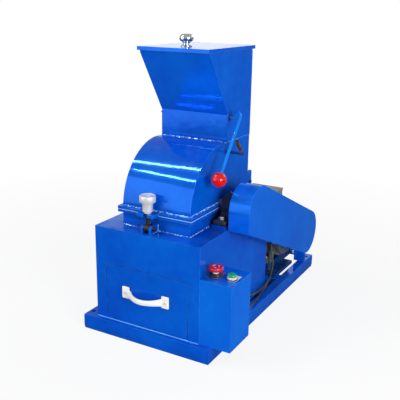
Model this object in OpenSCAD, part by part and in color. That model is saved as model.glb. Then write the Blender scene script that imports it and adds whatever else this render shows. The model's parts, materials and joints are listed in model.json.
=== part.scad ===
// Small hammer crusher on a steel base: hinged hopper lid, gate lever, split rotor housing,
// belt drive with motor, dust drawer and push-button box.
// Frame: X to the right, Y to the back, Z up, origin on the floor under the middle of the base.

/* [Base] */
// Width of the base frame
base_w = 396; // [390:1:440]
// Length of the base frame
base_l = 768; // [760:1:820]
// Height of the base rails
base_h = 42; // [38:1:50]
// Sheet thickness of the base rails
rail_t = 4; // [3:0.5:6]
// Width of the rails' top flange
rail_flange = 25; // [22:1:30]
// Width of the cross members
cross_w = 34; // [28:1:40]
// Radius of the anchor holes
anchor_r = 6; // [4:0.5:7]
// Anchor holes' distance from the left and right sides
anchor_in_x = 12; // [11:0.5:14]
// Anchor holes' distance from the front and back sides
anchor_in_y = 26; // [22:1:34]

/* [Cabinet] */
// Width of the cabinet
cab_w = 324; // [316:1:330]
// Depth of the cabinet
cab_l = 420; // [412:1:430]
// Height of the cabinet above the base
cab_h = 266; // [260:1:280]
// Sheet thickness of the cabinet
cab_t = 4; // [3:0.5:5]
// Distance from the base's front edge to the cabinet's front
cab_inset = 14; // [10:1:18]
// Width of the opening for the drawer
door_w = 259; // [250:1:264]
// Height of the opening for the drawer
door_h = 161; // [156:1:162]

/* [Drawer] */
// Gap between the drawer front and its opening
drawer_gap = 1.5; // [1:0.25:3]
// Thickness of the drawer's front plate
drawer_front_t = 4; // [3:0.5:5]
// Thickness of the tray's sheet
tray_t = 2; // [1.5:0.25:3]
// Depth of the tray behind its front plate
tray_l = 388; // [370:1:392]
// Height of the tray's sides
tray_h = 144; // [120:1:146]
// Thickness of the runner strips
runner_t = 3; // [2:0.5:4]
// Height of the runner strips' upright leg
runner_h = 32; // [20:1:40]
// Length of the drawer handle between its feet's centres
grip_l = 124; // [110:1:140]
// Width of a handle foot
grip_foot_w = 23; // [18:1:26]
// Height of a handle foot
grip_foot_h = 34; // [28:1:38]
// Thickness of a handle foot
grip_foot_t = 6; // [4:0.5:8]
// Height of the handle's bar
grip_bar_h = 15; // [12:1:18]
// Thickness of the handle's bar
grip_bar_t = 9; // [7:0.5:12]
// How far the bar stands out from the drawer front
grip_out = 32; // [28:1:40]
// Height of the handle's middle above the base
grip_z = 94; // [80:1:110]

/* [Crushing chamber] */
// Distance from the base's front edge to the rotor axis
rotor_back = 233; // [228:1:238]
// Outer radius of the drum
drum_r = 170; // [168:1:174]
// Outer width of the drum and hopper
drum_w = 208; // [204:1:210]
// Wall thickness of the drum and the lower housing
drum_t = 6; // [5:0.5:7]
// How far the lower housing reaches down inside the cabinet
chamber_drop = 96; // [92:1:98]
// Thickness of each flange
flange_t = 8; // [6:0.5:9]
// How far the flanges stand out from the drum
flange_lip = 10; // [8:0.5:10]
// Thickness of the gasket between the flanges
gasket_t = 1; // [0.5:0.25:1.5]
// Radius of the notch that the shaft passes through
notch_r = 18; // [15:0.5:20]
// Inner radius of the sieve
sieve_r = 140; // [136:1:141]
// Thickness of the sieve
sieve_t = 3; // [2:0.5:4]
// Width of a sieve slot
sieve_slot = 8; // [6:0.5:10]
// Inner radius of the breaker plate
breaker_r = 152; // [148:1:154]
// Height of the breaker plate's ribs
rib_h = 7; // [5:0.5:8]

/* [Hopper] */
// Depth of the throat above the drum
throat_l = 143; // [138:1:146]
// Height of the fold above the rotor axis
fold_up = 243; // [236:1:250]
// Height of the slanted part above the fold
hopper_up = 176; // [166:1:184]
// How far the slanted front runs out
hopper_out = 116; // [108:1:122]
// Sheet thickness of the hopper
hopper_t = 3; // [2:0.5:4]
// Thickness of the lid's sheet
lid_t = 2; // [1.5:0.25:3]
// Height of the lid's folded rim
lid_rim = 10; // [8:0.5:12]
// Gap between the lid's rim and the hopper
lid_gap = 1; // [0.5:0.25:1.5]
// How far the lid reaches past the hopper's back
lid_tail = 12; // [11:0.5:15]
// Outer radius of the lid hinge's knuckles
lid_knuckle_r = 5; // [4:0.5:6]
// Radius of the lid hinge's pin
lid_pin_r = 2.5; // [2:0.25:3]
// Radius of the lid knob's head
lid_knob_r = 18.5; // [16:0.5:21]
// Height of the lid knob
lid_knob_h = 33; // [28:1:38]
// Distance from the lid's front edge to its knob
lid_knob_in = 73; // [60:1:90]

/* [Gate] */
// Radius of the gate shaft and its lever rod
gate_r = 5; // [4:0.5:6]
// Depth of the gate shaft behind the throat's front
gate_in = 14; // [13:0.5:16]
// Depth of the gate shaft below the fold
gate_down = 8; // [6:0.5:10]
// Length of the gate flap
flap_l = 92; // [84:1:94]
// Thickness of the gate flap
flap_t = 4; // [3:0.5:5]
// Slope of the closed flap in degrees
flap_slope = 28.7; // [26:0.1:32]
// Outer radius of the gate shaft's bushes
bush_r = 8; // [7:0.5:9]
// How far the lever stands out beside the gate shaft's end
lever_out = 37; // [34:1:40]
// How far the ball lies in front of the gate shaft
lever_fore = 139; // [130:1:144]
// How far the ball lies below the gate shaft
lever_down = 137; // [130:1:140]
// Radius of the ball on the lever
ball_r = 20; // [17:0.5:22]
// Radius of the spring's coil, to the middle of its wire
coil_r = 4.2; // [3.6:0.1:4.6]
// Radius of the spring's wire
wire_r = 0.8; // [0.6:0.05:0.9]
// Number of curls in the spring
curls = 16; // [12:1:16]
// Radius of the spring's post on the drum's side
post_r = 4; // [3.5:0.25:5]
// How far the spring's post lies in front of the gate shaft
post_fore = 20; // [16:1:24]
// How far the spring's post lies below the gate shaft
post_down = 90; // [86:1:94]
// How far the spring stands out from the drum's side
post_out = 50; // [49:0.5:52]

/* [Clamp] */
// Clamp's distance to the left of the middle
clamp_left = 8; // [0:0.5:10]
// Distance from the base's front edge to the clamp bolt
clamp_back = 38; // [36:0.5:40]
// Radius of the swing bolt
bolt_r = 6; // [5:0.25:6.5]
// Width of the gap between the clamp's lugs
lug_gap = 18; // [16:0.5:22]
// Thickness of a clamp lug
lug_t = 7; // [5:0.5:8]
// Radius of the clamp pin
clamp_pin_r = 4; // [3:0.25:4.5]
// Radius of the clamp knob's head
knob_r = 21.5; // [19:0.5:24]
// Height of the clamp knob's head
knob_h = 18; // [14:0.5:22]
// Radius of the clamp knob's neck
neck_r = 13.5; // [12:0.5:14.5]
// Height of the clamp knob's neck
neck_h = 25; // [20:0.5:28]
// Height of the narrow foot under the clamp knob's neck
knob_foot = 5; // [3:0.5:6]
// Width of the clamping ear on the upper flange
ear_w = 50; // [44:1:56]

/* [Back hinge] */
// Height of the back hinge's pin above the rotor axis
back_pin_up = 22; // [20:0.5:25]
// Radius of the back hinge's pin
back_pin_r = 5; // [4:0.25:5.5]
// Thickness of the back hinge's plates
back_plate_t = 8; // [6:0.5:9]
// How far the hinge ear rises above its pin
ear_rise = 35; // [28:1:38]

/* [Bearings and shaft] */
// Radius of the rotor shaft
shaft_r = 12.5; // [10:0.5:14]
// Height of the bearing centre above its foot
brg_h = 36.5; // [34:0.5:38]
// Thickness of the pads welded under the bearings
pad_t = 8.5; // [7:0.5:10]
// Length of the bearing foot
brg_l = 140; // [130:1:146]
// Width of the bearing foot
brg_w = 38; // [34:1:39]
// Thickness of the bearing foot
brg_foot = 14; // [12:0.5:16]
// Outer radius of the bearing's round body
brg_r = 34; // [32:0.5:35]
// Outer radius of the bearing insert
insert_r = 26; // [24:0.5:28]
// Distance between the bearing's two bolts
brg_bolts = 105; // [100:1:110]
// Gap between the flange's side and the bearing
brg_gap = 2; // [1.5:0.5:3]

/* [Rotor] */
// Radius of the rotor discs
disc_r = 98; // [95:1:101]
// Thickness of a rotor disc
disc_t = 8; // [6:0.5:10]
// Distance from the rotor's first disc to its last, outside to outside
rotor_w = 184; // [176:1:186]
// Radius of the hammer pins
hpin_r = 7; // [6:0.5:8]
// Distance of the hammer pins from the rotor axis
hpin_at = 80; // [78:0.5:82]
// Reach of a hammer from its pin
hammer_l = 51; // [46:0.5:52]
// Width of a hammer
hammer_w = 34; // [28:1:36]
// Thickness of a hammer
hammer_t = 24; // [16:1:28]

/* [Drive] */
// Distance from the rotor axis back to the motor axis
motor_back = 409; // [404:1:414]
// Shaft height of the motor
motor_h = 100; // [98:0.5:104]
// Radius of the motor's frame without its fins
motor_r = 86; // [80:1:88]
// Height of the motor's fins
fin_h = 9; // [6:0.5:10]
// Number of fins
fins = 36; // [28:1:40]
// Length of the motor's finned frame
stator_l = 186; // [180:1:192]
// Length of each end shield
shield_l = 20; // [16:0.5:22]
// Length of the fan cover
cowl_l = 64; // [58:1:70]
// Radius of the motor shaft
mshaft_r = 14; // [11:0.5:15]
// Thickness of the motor's bed plate
bed_t = 10; // [8:0.5:12]
// Height of the slide rails under the motor
slide_h = 18; // [14:0.5:20]
// Width of a slide rail
slide_w = 32; // [28:1:36]
// Distance between the motor's feet along its axis
feet_x = 135; // [130:1:140]
// Distance between the motor's feet across its axis
feet_y = 160; // [156:1:166]
// Width of a motor foot
foot_w = 32; // [28:1:36]
// Thickness of a motor foot
foot_t = 12; // [8:0.5:14]
// Height of the terminal box
term_h = 31; // [28:1:40]
// Width of the terminal box along the motor
term_w = 108; // [100:1:112]
// Depth of the terminal box across the motor
term_l = 70; // [64:1:80]
// Outer radius of the rotor pulley
rp_r = 50; // [46:0.5:54]
// Outer radius of the motor pulley
mp_r = 57; // [52:0.5:58]
// Width of both pulleys
pulley_w = 36; // [34:1:40]
// Distance between the two belts
belt_pitch = 16; // [15:0.5:17]
// Height of the belt's section
belt_h = 8; // [7:0.25:9]
// Width of the belt's section
belt_w = 11; // [10:0.25:12]

/* [Guard] */
// Radius of the guard's round ends
guard_r = 70; // [68:0.5:72]
// Depth of the guard
guard_d = 59.5; // [56:0.5:62]
// Sheet thickness of the guard
guard_t = 2; // [1.5:0.25:2.5]
// Width of the guard's back lip
guard_lip = 12; // [10:0.5:14]
// Gap between the cabinet's side and the guard
guard_gap = 1.5; // [1:0.25:2]

/* [Control box] */
// Width of the control box
box_w = 90; // [84:1:100]
// Depth of the control box
box_l = 110; // [100:1:120]
// Height of the control box
box_h = 180; // [170:1:188]
// Sheet thickness of the control box
box_t = 1.5; // [1:0.25:2.5]
// Radius of the holes for the buttons
panel_r = 11; // [10:0.25:11.5]
// Distance between the two buttons
button_pitch = 46; // [42:1:50]
// Buttons' distance from the control box's front
button_in = 42; // [38:1:48]
// Radius of the emergency stop's head
stop_r = 20; // [18:0.5:21]
// Travel of the emergency stop
stop_travel = 4; // [3:0.5:5]
// Radius of the start button's cap
start_r = 11.5; // [10.5:0.25:12]
// Travel of the start button
start_travel = 2.5; // [2:0.25:3]
// Height of the emergency stop's collar
collar_h = 9; // [7:0.5:10]
// Height of the start button's bezel
bezel_h = 8.5; // [7:0.5:10]
// Width of a legend plate
legend_w = 30; // [28:1:34]
// Length of a legend plate
legend_l = 44; // [38:1:46]
// Radius of the cable glands
gland_r = 7; // [6:0.25:8]

/* [Fasteners] */
// Radius of the machine bolts
mbolt_r = 5; // [4:0.25:5]
// Width across the corners of their heads
mbolt_head = 19; // [17:0.5:20]
// Height of their heads
mbolt_head_h = 6.4; // [5:0.2:7]
// Radius of the small screws
screw_r = 2.5; // [2:0.25:3]
// Radius of the small screws' heads
screw_head_r = 4.5; // [4:0.25:5]
// Height of the small screws' heads
screw_head_h = 2.6; // [2:0.1:3]

/* [Hidden] */
$fn = 64;
// Overrun of every cut
cut = 1;
// Clearance between a pin or shaft and its bore
run = 0.05;
// Gap between parts that rest close to each other
rest = 0.3;

// Colours
blue = [0.02, 0.26, 0.72];
dark_blue = [0.02, 0.16, 0.45];
steel = [0.70, 0.71, 0.72];
dark_steel = [0.32, 0.32, 0.33];
black = [0.06, 0.06, 0.07];
grey = [0.66, 0.68, 0.69];
cream = [0.93, 0.92, 0.86];
red = [0.85, 0.06, 0.08];
green = [0.05, 0.66, 0.36];

// Base and cabinet
base_x = base_w / 2;
base_y0 = -base_l / 2;
base_y1 = base_l / 2;
cab_x = cab_w / 2;
cab_y0 = base_y0 + cab_inset;
cab_y1 = cab_y0 + cab_l;
cab_z = base_h + cab_h;
floor_z = base_h + cab_t;

// Rotor axis and chamber
rotor_y = base_y0 + rotor_back;
rotor_z = cab_z + pad_t + brg_h;
drum_x = drum_w / 2;
in_x = drum_x - drum_t;
drum_y0 = rotor_y - drum_r;
drum_y1 = rotor_y + drum_r;
flange_x = drum_x + flange_lip;
flange_y0 = drum_y0 - flange_lip;
flange_y1 = drum_y1 + flange_lip;
gasket_z0 = rotor_z - gasket_t / 2;
gasket_z1 = rotor_z + gasket_t / 2;
low_flange_z = gasket_z0 - flange_t;
up_flange_z = gasket_z1 + flange_t;
chamber_z = cab_z - chamber_drop;

// Hopper
throat_y0 = drum_y1 - throat_l;
throat_z = rotor_z + sqrt(drum_r * drum_r - pow(rotor_y - throat_y0, 2)) + gasket_t;
fold_z = rotor_z + fold_up;
hopper_z = fold_z + hopper_up;
hopper_y0 = throat_y0 - hopper_out;
slant = hopper_out / hopper_up;
slant_t = hopper_t * sqrt(1 + slant * slant);

// Lid and its hinge
lid_x = drum_x + lid_gap + lid_t;
lid_y0 = hopper_y0 - lid_gap - lid_t;
lid_y1 = drum_y1 + lid_tail;
lid_z = hopper_z + lid_t;
lid_pin_y = lid_y1 + lid_knuckle_r - 2 * rest;
lid_pin_z = lid_z - lid_knuckle_r;
knuckle_l = 2 * lid_knuckle_r + lid_rim;
hinge_at = drum_x * 0.6;

// Gate
gate_y = throat_y0 + gate_in;
gate_z = fold_z - gate_down;
gate_x = drum_x + bush_r * 0.75;
// Hook at the lever's top, as shares of how far it stands out: sideways, back and up
hook_shares = [[0.05, 0, 0], [0.13, 0, 0.05], [0.23, -0.04, 0.24], [0.31, -0.1, 0.42],
    [0.47, -0.2, 0.5], [0.65, -0.32, 0.5], [0.82, -0.47, 0.42], [0.95, -0.62, 0.28], [1, -0.76, 0.11]];
stud_share = 0.33;

// Clamp
clamp_x = -clamp_left;
clamp_y = base_y0 + clamp_back;
clamp_pin_z = cab_z + lug_gap / 2 + clamp_pin_r;
eye_r = 2 * clamp_pin_r + 3 * cut;
eye_w = lug_gap - 2 * cut;
lug_y1 = drum_y0 - rest;
lug_z = low_flange_z - 2 * flange_t;
ear_y0 = clamp_y - neck_r - cut;
knob_z = up_flange_z + rest;

// Back hinge
back_lug_r = back_pin_r + 3 * cut;
back_pin_y = flange_y1 + cut + back_lug_r;
back_pin_z = rotor_z + back_pin_up;
back_lug_x = drum_x - back_plate_t - rest;

// Bearings
brg_x = flange_x + brg_gap + brg_w / 2;
brg_z = cab_z + pad_t;

// Drive
motor_y = rotor_y + motor_back;
bed_z = base_h + bed_t;
rail_z = bed_z + slide_h;
motor_z = rail_z + motor_h;
rotor_at = [rotor_y, rotor_z];
motor_at = [motor_y, motor_z];
guard_x0 = cab_x + guard_gap;
guard_x1 = guard_x0 + guard_d;
pulley_x0 = guard_x0 + (guard_d - pulley_w) / 2 - guard_t;
pulley_x1 = pulley_x0 + pulley_w;
pulley_x = (pulley_x0 + pulley_x1) / 2;
shaft_x0 = -brg_x - brg_w / 2 - shaft_r / 2;
shaft_x1 = pulley_x1 + shaft_r / 2;
stator_x1 = guard_x0 - shield_l - guard_lip / 2;
stator_x0 = stator_x1 - stator_l;
feet_mid = (stator_x0 + stator_x1) / 2;
cowl_x0 = stator_x0 - shield_l - cowl_l;
bed_y0 = motor_y - motor_r - cross_w - 2 * anchor_r + fin_h / 3;
bed_y1 = base_y1 - rail_flange / 2;
bed_x0 = feet_mid - feet_x / 2 - slide_w;
bed_x1 = guard_x0 + rail_t / 2;
bed_notch_x = feet_mid + feet_x / 2 + slide_w / 2;
bed_notch_y = motor_y + slide_w / 2;
slide_y0 = motor_y - feet_y / 2 - foot_w / 2 - rail_t;
slide_y1 = motor_y + feet_y / 2 + foot_w / 2 + rail_t;
box_top = motor_z + motor_r + fin_h;
term_x1 = stator_x1 - foot_w + rail_t;
term_x0 = term_x1 - term_w;

// Control box
cbox_x0 = cab_x;
cbox_x1 = cab_x + box_w;
cbox_y1 = cab_y0 + box_l;
cbox_z0 = base_h + rest;
cbox_z1 = cbox_z0 + box_h;
button_y = cab_y0 + button_in;
stop_x = (cbox_x0 + cbox_x1) / 2 - button_pitch / 2 + cut;
start_x = stop_x + button_pitch;
plate_t = 1;
nut_t = 5;
nut_r = panel_r + 3;
stem_r = panel_r - 3;
gland_nut_t = 5;
gland_nut_r = gland_r + 2;
gland_nose = 10;
gland_tip = 3;
gland_thread = gland_r - 2;

// Cables: their routes are hand-laid points, and only their ends follow the box and motor
cable_r = 2.6;
gland_x = 196;
earth_x = 212;
cable_end_z = 140;
earth_end_z = 118;
inlet_end_z = 90;
cable_route = [[92, 207, 281], [95, 192, 281], [104, 175, 275], [120, 158, 260], [136, 138, 236],
    [148, 118, 205], [156, 102, 168], [165, 93, 132], [171, 88, 104], [173, 70, 76], [174, 46, 64],
    [176, 16, 60], [178, -22, 61], [180, -62, 68], [183, -102, 79], [187, -142, 94], [191, -180, 112],
    [195, -210, 128], [196, -232, 138], [196, -244, 140]];
earth_route = [[72, 207, 281], [75, 192, 279], [84, 174, 268], [100, 156, 244], [118, 138, 206],
    [136, 118, 164], [152, 100, 124], [162, 86, 92], [168, 70, 66], [171, 48, 54], [174, 22, 49],
    [178, -14, 48], [184, -56, 48], [190, -98, 52], [197, -138, 63], [204, -174, 82], [210, -206, 104],
    [212, -230, 116], [212, -244, 118]];

// Box between two corners
module block(a, b) {
    translate(a) cube(b - a);
}

// Round bar along X
module bar_x(r, x0, x1, y, z) {
    translate([x0, y, z]) rotate([0, 90, 0]) cylinder(r = r, h = x1 - x0);
}

// Extrusion along X of an outline drawn in Y and Z
module along_x(x0, x1) {
    translate([x0, 0, 0]) rotate([90, 0, 90]) linear_extrude(x1 - x0) children();
}

// Both sides of the machine
module both_sides() {
    children();
    mirror([1, 0, 0]) children();
}

// Hexagon bolt with its head's underside at the origin, shank downwards
module hex_bolt(r, l, head, head_h) {
    cylinder(r = head / 2, h = head_h, $fn = 6);
    translate([0, 0, -l]) cylinder(r = r, h = l + cut);
}

// Outline of a belt or cover that wraps two circles given as [y, z]
module wrap(a, ra, b, rb) {
    d = b - a;
    base = atan2(d[1], d[0]);
    phi = acos((ra - rb) / norm(d));
    u = [cos(base + phi), sin(base + phi)];
    v = [cos(base - phi), sin(base - phi)];
    translate(a) circle(ra);
    translate(b) circle(rb);
    polygon([a + ra * u, b + rb * u, b + rb * v, a + ra * v]);
}

// Unit vector
function unit(v) = v / norm(v);

// Tube swept along a list of points, closed at both ends
module tube(path, r, sides) {
    n = len(path);
    tang = [for (i = [0:n - 1]) unit(path[min(i + 1, n - 1)] - path[max(i - 1, 0)])];
    side0 = unit(cross(tang[0], abs(tang[0][0]) > 0.9 ? [0, 0, 1] : [1, 0, 0]));
    frames = carry(tang, side0, 0);
    points = [for (i = [0:n - 1]) for (k = [0:sides - 1])
        path[i] + r * (cos(360 * k / sides) * frames[i]
            + sin(360 * k / sides) * cross(tang[i], frames[i]))];
    skin = [for (i = [0:n - 2]) for (k = [0:sides - 1]) for (h = [0, 1])
        let(a = i * sides + k, b = i * sides + (k + 1) % sides)
        h == 0 ? [a, a + sides, b] : [b, a + sides, b + sides]];
    cap0 = [for (k = [1:sides - 2]) [0, k, k + 1]];
    last = (n - 1) * sides;
    cap1 = [for (k = [1:sides - 2]) [last, last + k + 1, last + k]];
    polyhedron(points, concat(skin, cap0, cap1));
}

// Side vectors carried along a path without twist
function carry(tang, side, i) = i >= len(tang) ? [] :
    let(s = unit(side - (side * tang[i]) * tang[i])) concat([s], carry(tang, s, i + 1));

// Point of a smooth curve through hand-laid points
function blend(p, i, t) =
    let(n = len(p) - 1, a = p[max(i - 1, 0)], b = p[i], c = p[min(i + 1, n)], d = p[min(i + 2, n)])
    0.5 * (2 * b + (c - a) * t + (2 * a - 5 * b + 4 * c - d) * t * t
        + (3 * b - a - 3 * c + d) * t * t * t);

// Curve through hand-laid points with the given steps between them
function smooth(p, steps) = concat(
    [for (i = [0:len(p) - 2]) for (k = [0:steps - 1]) blend(p, i, k / steps)], [p[len(p) - 1]]);

module base_frame() {
    color(blue) difference() {
        union() {
            difference() {
                block([-base_x, base_y0, 0], [base_x, base_y1, base_h]);
                block([-base_x + rail_t, base_y0 + rail_t, -cut],
                    [base_x - rail_t, base_y1 - rail_t, base_h - rail_t]);
                block([-base_x + rail_flange, base_y0 + rail_flange, -cut],
                    [base_x - rail_flange, base_y1 - rail_flange, base_h + cut]);
                block([-base_x + rail_flange, base_y1 - 2 * rail_t, -cut],
                    [base_x - rail_flange, base_y1 + cut, base_h - rail_t]);
            }
            cross_member(-rail_t / 2, cab_y1);
            cross_member(bed_y0 + (rail_flange - cross_w) / 2, bed_y0 + (rail_flange + cross_w) / 2);
        }
        for (x = [-base_x + anchor_in_x, base_x - anchor_in_x])
            for (y = [base_y0 + anchor_in_y, base_y1 - anchor_in_y])
                translate([x, y, base_h - rail_t - cut]) cylinder(r = anchor_r, h = rail_t + 2 * cut);
    }
}

// Folded channel from rail to rail between two places in Y, its back on top
module cross_member(y0, y1) {
    difference() {
        block([-base_x + rail_t / 2, y0, 0], [base_x - rail_t / 2, y1, base_h]);
        block([-base_x - cut, y0 + rail_t, -cut], [base_x + cut, y1 - rail_t, base_h - rail_t]);
    }
}

module cabinet() {
    color(blue) difference() {
        union() {
            difference() {
                block([-cab_x, cab_y0, base_h], [cab_x, cab_y1, cab_z]);
                block([-cab_x + cab_t, cab_y0 + cab_t, floor_z],
                    [cab_x - cab_t, cab_y1 - cab_t, cab_z - cab_t]);
            }
            both_sides() block([brg_x - brg_w / 2 - cut, rotor_y - brg_l / 2 - cut, cab_z],
                [brg_x + brg_w / 2 + cut, rotor_y + brg_l / 2 + cut, cab_z + pad_t]);
        }
        block([-door_w / 2, cab_y0 - cut, floor_z - cut],
            [door_w / 2, cab_y0 + 2 * cab_t, floor_z - cut + door_h]);
        block([-drum_x - rest, drum_y0 - rest, cab_z - 2 * cab_t],
            [drum_x + rest, drum_y1 + rest, cab_z + cut]);
        both_sides() for (s = [-1, 1])
            translate([brg_x, rotor_y + s * brg_bolts / 2, cab_z - 2 * cab_t])
                cylinder(r = mbolt_r, h = pad_t + 3 * cab_t);
    }
}

tray_x = door_w / 2 - drawer_gap - runner_t - 2 * rest;
tray_y0 = cab_y0 + drawer_front_t;
tray_z = floor_z + runner_t + rest;

module drawer_runners() {
    color(steel) both_sides() difference() {
        block([tray_x - runner_h, tray_y0 + drawer_front_t, floor_z],
            [tray_x + rest + runner_t, tray_y0 + tray_l, floor_z + runner_h]);
        block([tray_x - runner_h - cut, tray_y0 - cut, floor_z + runner_t],
            [tray_x + rest, tray_y0 + tray_l + cut, floor_z + runner_h + cut]);
    }
}

module drawer() {
    color(blue) difference() {
        union() {
            block([-door_w / 2 + drawer_gap, cab_y0, floor_z - cut + drawer_gap],
                [door_w / 2 - drawer_gap, tray_y0, floor_z - cut + door_h - drawer_gap]);
            difference() {
                block([-tray_x, tray_y0 - cut, tray_z], [tray_x, tray_y0 + tray_l, tray_z + tray_h]);
                block([-tray_x + tray_t, tray_y0, tray_z + tray_t],
                    [tray_x - tray_t, tray_y0 + tray_l - tray_t, tray_z + tray_h + cut]);
            }
        }
        for (s = [-1, 1]) translate([s * grip_l / 2, cab_y0 - cut, base_h + grip_z])
            rotate([-90, 0, 0]) cylinder(r = screw_r, h = drawer_front_t + 2 * cut);
    }
}

module drawer_handle() {
    z = base_h + grip_z;
    mid = grip_l / 2 - grip_foot_w / 2;
    steps = 5;
    color(cream) difference() {
        union() {
            for (s = [-1, 1]) translate([s * grip_l / 2, cab_y0, z])
                rotate([90, 0, 0]) linear_extrude(grip_foot_t)
                    square([grip_foot_w, grip_foot_h], center = true);
            for (k = [0:steps - 1]) hull() for (j = [k, k + 1])
                grip_slice((2 * j / steps - 1) * mid, mid, z);
        }
        for (s = [-1, 1]) translate([s * grip_l / 2, cab_y0 + cut, z]) rotate([90, 0, 0]) {
            cylinder(r = screw_r, h = grip_foot_t + 2 * cut);
            translate([0, 0, grip_foot_t - cut]) cylinder(r = screw_head_r + rest, h = grip_out);
        }
    }
}

// One cross-section of the bowed bar at x
module grip_slice(x, mid, z) {
    rise = 1 - pow(x / mid, 2);
    translate([x, cab_y0 - grip_bar_t / 2 - rise * (grip_out - grip_bar_t), z - rise * grip_bar_h / 4])
        cube([cut, grip_bar_t, grip_bar_h], center = true);
}

module handle_screws() {
    color(steel) for (s = [-1, 1])
        translate([s * grip_l / 2, cab_y0 - grip_foot_t + cut, base_h + grip_z]) rotate([90, 0, 0]) {
            cylinder(r = screw_head_r, h = screw_head_h);
            translate([0, 0, -grip_foot_t - drawer_front_t])
                cylinder(r = screw_r - run, h = grip_foot_t + drawer_front_t + cut);
        }
}

// Rectangular ring seen from above with a round notch for the shaft
module ring_plate(z0, z1) {
    difference() {
        block([-flange_x, flange_y0, z0], [flange_x, flange_y1, z1]);
        block([-in_x, drum_y0 + drum_t, z0 - cut], [in_x, drum_y1 - drum_t, z1 + cut]);
        bar_x(notch_r, -flange_x - cut, flange_x + cut, rotor_y, rotor_z);
    }
}

module lower_housing() {
    rail_r = sieve_r + sieve_t + rest;
    ledge = drum_t / 2;
    color(blue) difference() {
        union() {
            difference() {
                block([-drum_x, drum_y0, chamber_z], [drum_x, drum_y1, gasket_z0 - flange_t + cut]);
                block([-in_x, drum_y0 + drum_t, chamber_z - cut], [in_x, drum_y1 - drum_t, rotor_z]);
            }
            ring_plate(low_flange_z, gasket_z0);
            both_sides() intersection() {
                block([in_x - ledge, drum_y0, chamber_z], [in_x + cut, drum_y1, low_flange_z]);
                difference() {
                    bar_x(rail_r + flange_t - cut, in_x - ledge, in_x + cut, rotor_y, rotor_z);
                    bar_x(rail_r, in_x - 2 * ledge, in_x + 2 * cut, rotor_y, rotor_z);
                }
            }
        }
        bar_x(notch_r, -flange_x - cut, flange_x + cut, rotor_y, rotor_z);
    }
}

module flange_gasket() {
    color(grey) ring_plate(gasket_z0, gasket_z1);
}

module sieve() {
    rows = 11;
    arc = 140;
    half = in_x - rest;
    color(dark_steel) difference() {
        bar_x(sieve_r + sieve_t, -half, half, rotor_y, rotor_z);
        bar_x(sieve_r, -half - cut, half + cut, rotor_y, rotor_z);
        block([-drum_x, drum_y0, low_flange_z], [drum_x, drum_y1, rotor_z + drum_r]);
        for (k = [0:rows - 1]) translate([0, rotor_y, rotor_z])
            rotate([(k - (rows - 1) / 2) * arc / rows, 0, 0]) both_sides()
                block([flange_t, -sieve_slot / 2, -sieve_r - 2 * sieve_t],
                    [half - 2 * flange_t, sieve_slot / 2, -sieve_r + sieve_t]);
    }
}

module upper_housing() {
    ear_y1 = drum_y0 + drum_t;
    color(blue) difference() {
        union() {
            along_x(-drum_x, drum_x) {
                intersection() {
                    translate(rotor_at) circle(drum_r);
                    translate([drum_y0 - cut, gasket_z1]) square([drum_r * 2 + 2 * cut, drum_r]);
                }
                translate([throat_y0, gasket_z1]) square([throat_l, throat_z - gasket_z1]);
            }
            ring_plate(gasket_z1, up_flange_z);
            difference() {
                block([clamp_x - ear_w / 2, ear_y0, gasket_z1], [clamp_x + ear_w / 2, ear_y1, up_flange_z]);
                block([clamp_x - bolt_r - cut, ear_y0 - cut, gasket_z1 - cut],
                    [clamp_x + bolt_r + cut, clamp_y, up_flange_z + cut]);
                translate([clamp_x, clamp_y, gasket_z1 - cut])
                    cylinder(r = bolt_r + cut, h = flange_t + 2 * cut);
            }
            both_sides() back_ear();
        }
        along_x(-in_x, in_x) {
            intersection() {
                translate(rotor_at) circle(drum_r - drum_t);
                translate([drum_y0, rotor_z - flange_t]) square([drum_r * 2, drum_r * 2]);
            }
            translate([throat_y0 + drum_t, rotor_z - flange_t])
                square([throat_l - 2 * drum_t, drum_r * 2]);
        }
        bar_x(notch_r, -flange_x - cut, flange_x + cut, rotor_y, rotor_z);
        both_sides() bar_x(back_pin_r, back_lug_x, drum_x + cut, back_pin_y, back_pin_z);
    }
}

// Fin-shaped hinge ear behind the upper housing
module back_ear() {
    ear_y1 = back_pin_y + back_lug_r;
    tip = back_pin_z + ear_rise;
    along_x(drum_x - back_plate_t, drum_x)
        polygon([[drum_y1 - drum_t, up_flange_z - cut], [ear_y1, up_flange_z],
            [ear_y1, tip - back_plate_t / 2],
            [ear_y1 - back_plate_t / 2, tip], [drum_y1 - drum_t, tip - back_plate_t]]);
}

module breaker_plate() {
    half = in_x - rest;
    outer = drum_r - drum_t - rest;
    rib_turns = [30:14:86];
    color(dark_steel) difference() {
        union() {
            difference() {
                bar_x(outer, -half, half, rotor_y, rotor_z);
                bar_x(breaker_r, -half - cut, half + cut, rotor_y, rotor_z);
            }
            for (a = rib_turns) translate([0, rotor_y, rotor_z]) rotate([-a, 0, 0])
                block([-half, -breaker_r - rib_h / 2, -rib_h / 2], [half, -breaker_r + rib_h, rib_h / 2]);
        }
        block([-drum_x, rotor_y - drum_r, rotor_z - drum_r - cut],
            [drum_x, rotor_y + drum_r, rotor_z + notch_r + flange_t]);
        block([-drum_x, throat_y0 - 2 * drum_t, rotor_z - drum_r],
            [drum_x, rotor_y + drum_r, rotor_z + drum_r]);
    }
}

// Outline of the hopper in Y and Z, drawn in by t
module hopper_side(t, ts, z0, z1) {
    bend = t * (sqrt(1 + slant * slant) - 1) / slant;
    polygon([[throat_y0 + t, z0], [throat_y0 + t, fold_z + bend],
        [hopper_y0 + ts - slant * (z1 - hopper_z), z1], [drum_y1 - t, z1], [drum_y1 - t, z0]]);
}

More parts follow.
